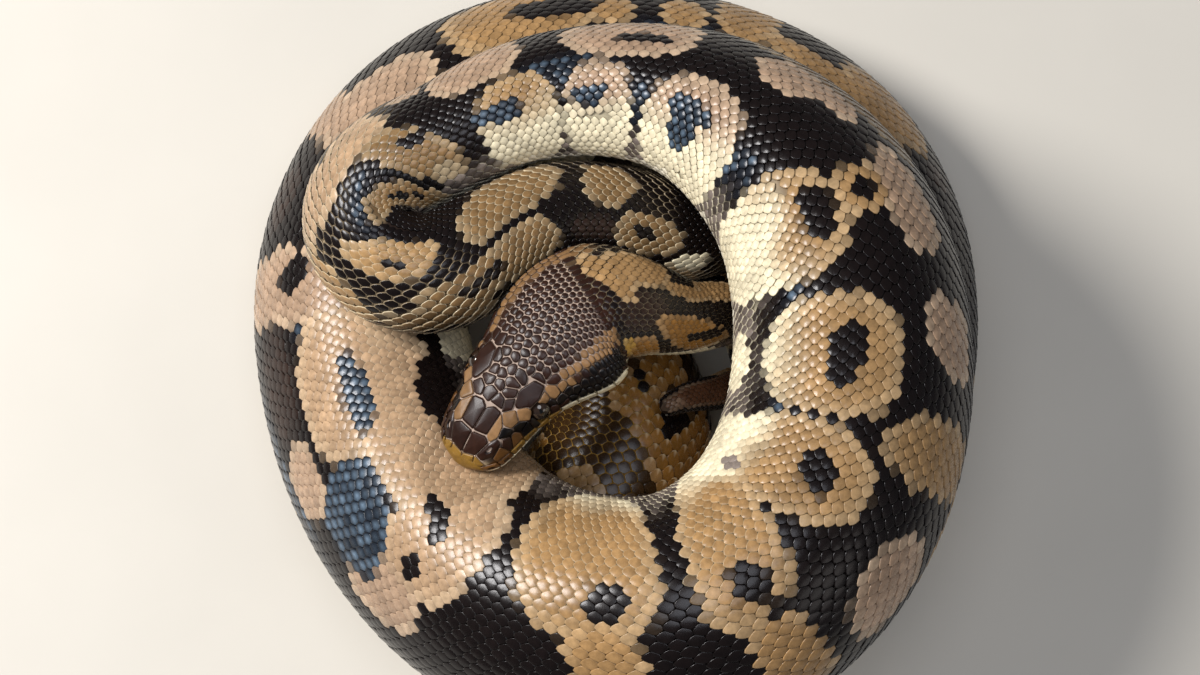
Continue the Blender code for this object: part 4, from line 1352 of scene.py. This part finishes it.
def tip_shield(name, low, high, ahead_by):
    """A domed shield over the tip, between two angles round from the crown."""
    degrees = np.linspace(low, high, 15)
    n = len(degrees)
    tip, tailward = centre(0.0), heading(np.array(0.0))
    ends = np.round((degrees[[0, -1]] % 360) / 360 * ROUND).astype(int) % ROUND
    middle_line = OUTSIDE[0][ends].mean(axis=0)
    body = []
    for s, lift in TIP_RINGS:
        place, out = on_body(np.full(n, s), degrees / 360)
        body.append(place + out * (lift - COAT + 0.1))
    inner = tip + 0.3 * (middle_line - tip) - tailward * ahead_by
    body.append(inner[None] + 0.45 * (body[-1] - body[-1].mean(axis=0)))
    corners = np.concatenate(body + [body[-1].mean(axis=0)[None] - tailward * 0.12])
    faces = []
    for level in range(3):
        a, b = level * n, (level + 1) * n
        for i in range(n):
            j = (i + 1) % n
            faces.append((a + i, a + j, b + j, b + i))
    for i in range(n):
        faces.append((3 * n + i, 3 * n + (i + 1) % n, 4 * n))
    faces.append(tuple(range(n - 1, -1, -1)))
    tone = markings(np.array([1.0]), np.array([0.0 if high < 120 else 175.0]))[0]
    colours = np.repeat(tone[None], len(corners), 0)
    # painted shade on the sunk outer ring
    colours[:n] *= 0.5
    loops = np.concatenate([np.array(f) for f in faces])
    flat = np.stack([0.5 + 0.001 * corners[:, 0], 0.5 + 0.001 * corners[:, 1]], 1)[loops]
    shield = finish_mesh(name, corners, loops, np.array([len(f) for f in faces]), colours, flat)
    edit = bmesh.new()
    edit.from_mesh(shield.data)
    bmesh.ops.recalc_face_normals(edit, faces=edit.faces)
    edit.to_mesh(shield.data)
    edit.free()
    return shield


mouth_at_tip = float(mouth_degrees(1.5, 1))
rostral = tip_shield("snout_shield", -mouth_at_tip + 5, mouth_at_tip - 5, 0.45)
mental = tip_shield("chin_shield", mouth_at_tip + 6, 360 - mouth_at_tip - 6, 0.25)
print("mouth at the tip:", round(mouth_at_tip), "degrees from the crown")

# %% [markdown]
# ## Eyes
# A snake has no lids: a clear fixed scale covers the eye, so it always shines. The eyeball is a
# fine sphere in the place of the solid's, with a dark iris and an upright slit of a pupil,
# painted by shader nodes from each point's direction as seen from the middle of the eye.
# %% Eyeballs
BALL_RADIUS, BALL_SUNK = 2.78, 0.4  # mm: its size, and how far behind the solid's middle it sits


def make_eye(name):
    for thing in bpy.context.selected_objects:
        thing.select_set(False)
    place = (EYES[name] - BALL_SUNK * EYE_OUT[name] + SHIFT) * MM
    bpy.ops.mesh.primitive_uv_sphere_add(segments=56, ring_count=36, radius=BALL_RADIUS * MM, location=place)
    eye = bpy.context.object
    eye.name = name + "_ball"
    bpy.ops.object.mode_set(mode="EDIT")
    bpy.ops.mesh.select_all(action="SELECT")
    bpy.ops.mesh.faces_shade_smooth()
    bpy.ops.object.mode_set(mode="OBJECT")
    bpy.ops.object.transform_apply(location=True, rotation=True, scale=True)
    return eye


eyes = {name: make_eye(name) for name in EYES}
print("eyes:", list(eyes))

# %% [markdown]
# ## Materials
# Snake scale is keratin, the stuff of fingernails: smooth, slightly see-through at the edge, with
# a satin gloss. Over dark pigment its fine surface ridges split light into a faint blue, which
# is given here by a bluish specular tint and a thin clear coat; the stronger blue on some dark
# scales is painted into their colour as a blue sheen and a blue highlight. All nodes are added by
# one small function, so that a material reads as a list of what it is made of.
# %% Shader tools
def node(tree, kind, values=None, links=None, **settings):
    """Adds one node, sets its properties and sockets, and links its inputs."""
    made = tree.nodes.new(kind)
    for key, value in settings.items():
        setattr(made, key, value)
    for key, value in (values or {}).items():
        made.inputs[key].default_value = value
    for key, source in (links or {}).items():
        tree.links.new(source, made.inputs[key])
    return made


def fresh(name):
    """An empty material and its node tree."""
    material = bpy.data.materials.new(name)
    material.use_nodes = True
    material.node_tree.nodes.clear()
    return material, material.node_tree


print("shading starts with", len(bpy.data.materials), "materials from the solids")

# %% [markdown]
# Keratin is grown and not made: the skin lays it down in thin layers, which leaves a fine grain.
# Cloudy pigment lies under it. One recipe serves scales, shields, plates and bare skin, with its
# own roughness, gloss and grain for each. The real grain is far finer than a tenth of a
# millimetre, and is drawn coarser here so that it shows.
# %% Keratin
MOTTLE_MM = 1.3  # size of the clouds of pigment


def keratin(name, rough, gloss, grain_mm, bump_mm):
    """Scale keratin over the markings: mottled, satin, with a fine grain."""
    material, tree = fresh(name)
    mark = node(tree, "ShaderNodeAttribute", attribute_name="marking")
    where = node(tree, "ShaderNodeTexCoord")
    mottle = node(tree, "ShaderNodeTexNoise", {"Scale": 1 / (MOTTLE_MM * MM), "Detail": 3.0},
                  {"Vector": where.outputs["Object"]})
    shade = node(tree, "ShaderNodeMapRange",
                 {"From Min": 0.3, "From Max": 0.7, "To Min": 0.8, "To Max": 1.16},
                 {"Value": mottle.outputs["Fac"]})
    colour = node(tree, "ShaderNodeVectorMath", links={0: mark.outputs["Color"], 1: shade.outputs["Result"]},
                  operation="MULTIPLY")
    grain = node(tree, "ShaderNodeTexNoise", {"Scale": 1 / (grain_mm * MM), "Detail": 2.0},
                 {"Vector": where.outputs["Object"]})
    relief = node(tree, "ShaderNodeBump", {"Strength": 0.5, "Distance": bump_mm * MM},
                  {"Height": grain.outputs["Fac"]})
    satin = node(tree, "ShaderNodeMapRange", {"To Min": rough - 0.07, "To Max": rough + 0.1},
                 {"Value": grain.outputs["Fac"]})
    surface = node(tree, "ShaderNodeBsdfPrincipled",
                   {"IOR": 1.4, "Specular IOR Level": gloss, "Specular Tint": (*linear("#eef1fa"), 1),
                    "Coat Weight": 0.05, "Coat Roughness": 0.2},
                   {"Base Color": colour.outputs["Vector"], "Roughness": satin.outputs["Result"],
                    "Normal": relief.outputs["Normal"]})
    node(tree, "ShaderNodeOutputMaterial", links={"Surface": surface.outputs["BSDF"]})
    return material


# body scales: smooth keratin, polished by crawling, which gives the eye a bright satin
SCALE_KERATIN = keratin("scale_keratin_satin", 0.25, 0.4, 0.35, 0.02)
# head shields: the same keratin, grown thicker, which gives a broader and duller gloss
HEAD_KERATIN = keratin("head_shield_keratin", 0.31, 0.32, 0.3, 0.015)
# belly plates: broad and worn smooth, which gives an even sheen like enamel
BELLY_KERATIN = keratin("belly_plate_keratin", 0.3, 0.45, 0.8, 0.02)
# bare skin: soft and finely creased, which gives next to no shine in the seams
BARE_SKIN = keratin("bare_skin_between_scales", 0.6, 0.25, 0.25, 0.05)
print("materials:", SCALE_KERATIN.name, HEAD_KERATIN.name, BELLY_KERATIN.name, BARE_SKIN.name)

# %% [markdown]
# The clear scale over the eye is called the spectacle. It is keratin as clear as glass, so it
# gives the eye one small sharp highlight. Under it lie an iris of dark threads and a slit pupil,
# drawn as a narrow oval of black in the plane that faces out of the head.
# %% The eye under its spectacle
SLIT_WIDE, SLIT_TALL = 0.17, 0.62  # half sizes of the pupil, as shares of the ball's radius
THREAD_MM = 0.5  # size of the threads in the iris


def eye_gloss(name):
    """Dark threaded iris and slit pupil under a clear, glassy coat."""
    material, tree = fresh(name + "_under_spectacle")
    out = Vector(EYE_OUT[name])
    up = Vector(head_spine)
    up = (up - up.dot(out) * out).normalized()
    across = out.cross(up)
    where = node(tree, "ShaderNodeTexCoord")
    ray = node(tree, "ShaderNodeVectorMath", {1: tuple((EYES[name] + SHIFT) * MM)},
               {0: where.outputs["Object"]}, operation="SUBTRACT")
    parts = []
    for way, size in ((across, SLIT_WIDE), (up, SLIT_TALL)):
        dot = node(tree, "ShaderNodeVectorMath", {1: tuple(way / (BALL_RADIUS * MM * size))},
                   {0: ray.outputs["Vector"]}, operation="DOT_PRODUCT")
        parts.append(dot.outputs["Value"])
    slit = node(tree, "ShaderNodeCombineXYZ", links={"X": parts[0], "Y": parts[1]})
    size = node(tree, "ShaderNodeVectorMath", links={0: slit.outputs["Vector"]}, operation="LENGTH")
    pupil = node(tree, "ShaderNodeMapRange", {"From Min": 0.9, "From Max": 1.1},
                 {"Value": size.outputs["Value"]})
    height = node(tree, "ShaderNodeMapRange", {"From Min": -1.2, "From Max": 1.2}, {"Value": parts[1]})
    ramp = node(tree, "ShaderNodeValToRGB", links={"Fac": height.outputs["Result"]})
    ramp.color_ramp.elements[0].color = (*linear("#0b0807"), 1)
    ramp.color_ramp.elements[1].color = (*linear("#2e2119"), 1)
    threads = node(tree, "ShaderNodeTexNoise", {"Scale": 1 / (THREAD_MM * MM), "Detail": 4.0},
                   {"Vector": where.outputs["Object"]})
    vein = node(tree, "ShaderNodeMapRange", {"To Min": 0.6, "To Max": 1.3},
                {"Value": threads.outputs["Fac"]})
    veined = node(tree, "ShaderNodeVectorMath", links={0: ramp.outputs["Color"], 1: vein.outputs["Result"]},
                  operation="MULTIPLY")
    colour = node(tree, "ShaderNodeVectorMath",
                  links={0: veined.outputs["Vector"], 1: pupil.outputs["Result"]}, operation="MULTIPLY")
    surface = node(tree, "ShaderNodeBsdfPrincipled",
                   {"Roughness": 0.08, "IOR": 1.42, "Coat Weight": 1.0, "Coat Roughness": 0.03},
                   {"Base Color": colour.outputs["Vector"]})
    node(tree, "ShaderNodeOutputMaterial", links={"Surface": surface.outputs["BSDF"]})
    return material


# %% [markdown]
# ## Dressing
# Every piece rides on the one still body and gets its material. The solids of flesh are hidden
# under the skin, and each eyeball's solid under its new eyeball.
# %% Pieces, materials and the solids they replace
def dress(piece, material):
    """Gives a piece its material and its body."""
    piece.data.materials.clear()
    piece.data.materials.append(material)
    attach(piece, "root")


dress(skin, BARE_SKIN)
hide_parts(*NODES_OF_FLESH)
for coat in COATS:
    dress(coat, SCALE_KERATIN)
dress(belly, BELLY_KERATIN)
dress(head_coat, HEAD_KERATIN)
for shield in (rostral, mental):
    dress(shield, HEAD_KERATIN)
for name, eye in eyes.items():
    dress(eye, eye_gloss(name))
    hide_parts(name)
print("pieces:", len([skin, belly, head_coat, rostral, mental, *COATS, *eyes]))

# %% [markdown]
# ## Floor, light and camera
# The floor is a matt board, painted in a pale warm grey. It takes a soft shadow and sends a little
# light back under the coils. It is stage only and no part of the snake.
# %% Floor
for thing in bpy.context.selected_objects:
    thing.select_set(False)
bpy.ops.mesh.primitive_plane_add(size=3.0, location=(0, 0, 0))
floor = bpy.context.object
floor.name = "studio_floor"
plaster, tree = fresh("matt_pale_board")
where = node(tree, "ShaderNodeTexCoord")
cloud = node(tree, "ShaderNodeTexNoise", {"Scale": 14.0, "Detail": 5.0},
             {"Vector": where.outputs["Object"]})
pale = node(tree, "ShaderNodeValToRGB", links={"Fac": cloud.outputs["Fac"]})
pale.color_ramp.elements[0].color = (*linear("#c9c6c0"), 1)
pale.color_ramp.elements[1].color = (*linear("#d6d3cd"), 1)
board = node(tree, "ShaderNodeBsdfPrincipled", {"Roughness": 0.85}, {"Base Color": pale.outputs["Color"]})
node(tree, "ShaderNodeOutputMaterial", links={"Surface": board.outputs["BSDF"]})
floor.data.materials.append(plaster)
print("floor:", plaster.name)

# %% [markdown]
# Large soft lights, the strongest high on the left, let the forms and the satin of the scales
# speak. Small or hard lights would put a sharp spark on every one of twenty thousand scales.
# %% Lights
def softbox(name, place, size, power, tint):
    """A round soft light that faces the pile."""
    light = bpy.data.lights.new(name, "AREA")
    light.shape = "DISK"
    light.size = size
    light.energy = power
    light.color = linear(tint)
    thing = bpy.data.objects.new(name, light)
    thing.location = place
    thing.rotation_euler = (Vector((0, 0, 0.04)) - Vector(place)).to_track_quat("-Z", "Y").to_euler()
    bpy.context.collection.objects.link(thing)


softbox("window_high_left", (-0.58, 0.14, 0.72), 0.32, 10.5, "#fffaf2")
softbox("ceiling", (0.0, -0.12, 1.05), 0.6, 3.4, "#f6f7fa")
softbox("fill_right", (0.62, -0.45, 0.5), 0.4, 0.6, "#fff6ea")
world = bpy.data.worlds.new("pale_room")
bpy.context.scene.world = world
world.use_nodes = True
world.node_tree.nodes["Background"].inputs["Color"].default_value = (*linear("#dfe6f2"), 1)
world.node_tree.nodes["Background"].inputs["Strength"].default_value = 0.14
bpy.context.scene.view_settings.view_transform = "Standard"

# %% [markdown]
# The camera looks steeply down, as one looks at a snake at rest, and is aimed a little above the
# middle of the pile.
# %% Camera
ELEVATION, DISTANCE = math.radians(78), 0.520
target = Vector((SHIFT[0] * MM, SHIFT[1] * MM, 0.060))
camera = bpy.data.cameras.new("camera")
camera.lens = 68.9
camera.sensor_width = 36
viewer = bpy.data.objects.new("camera", camera)
viewer.location = target + DISTANCE * Vector((0, -math.cos(ELEVATION), math.sin(ELEVATION)))
viewer.rotation_euler = (math.pi / 2 - ELEVATION, 0, 0)
bpy.context.collection.objects.link(viewer)
bpy.context.scene.camera = viewer
print("camera at", [round(c, 3) for c in viewer.location])
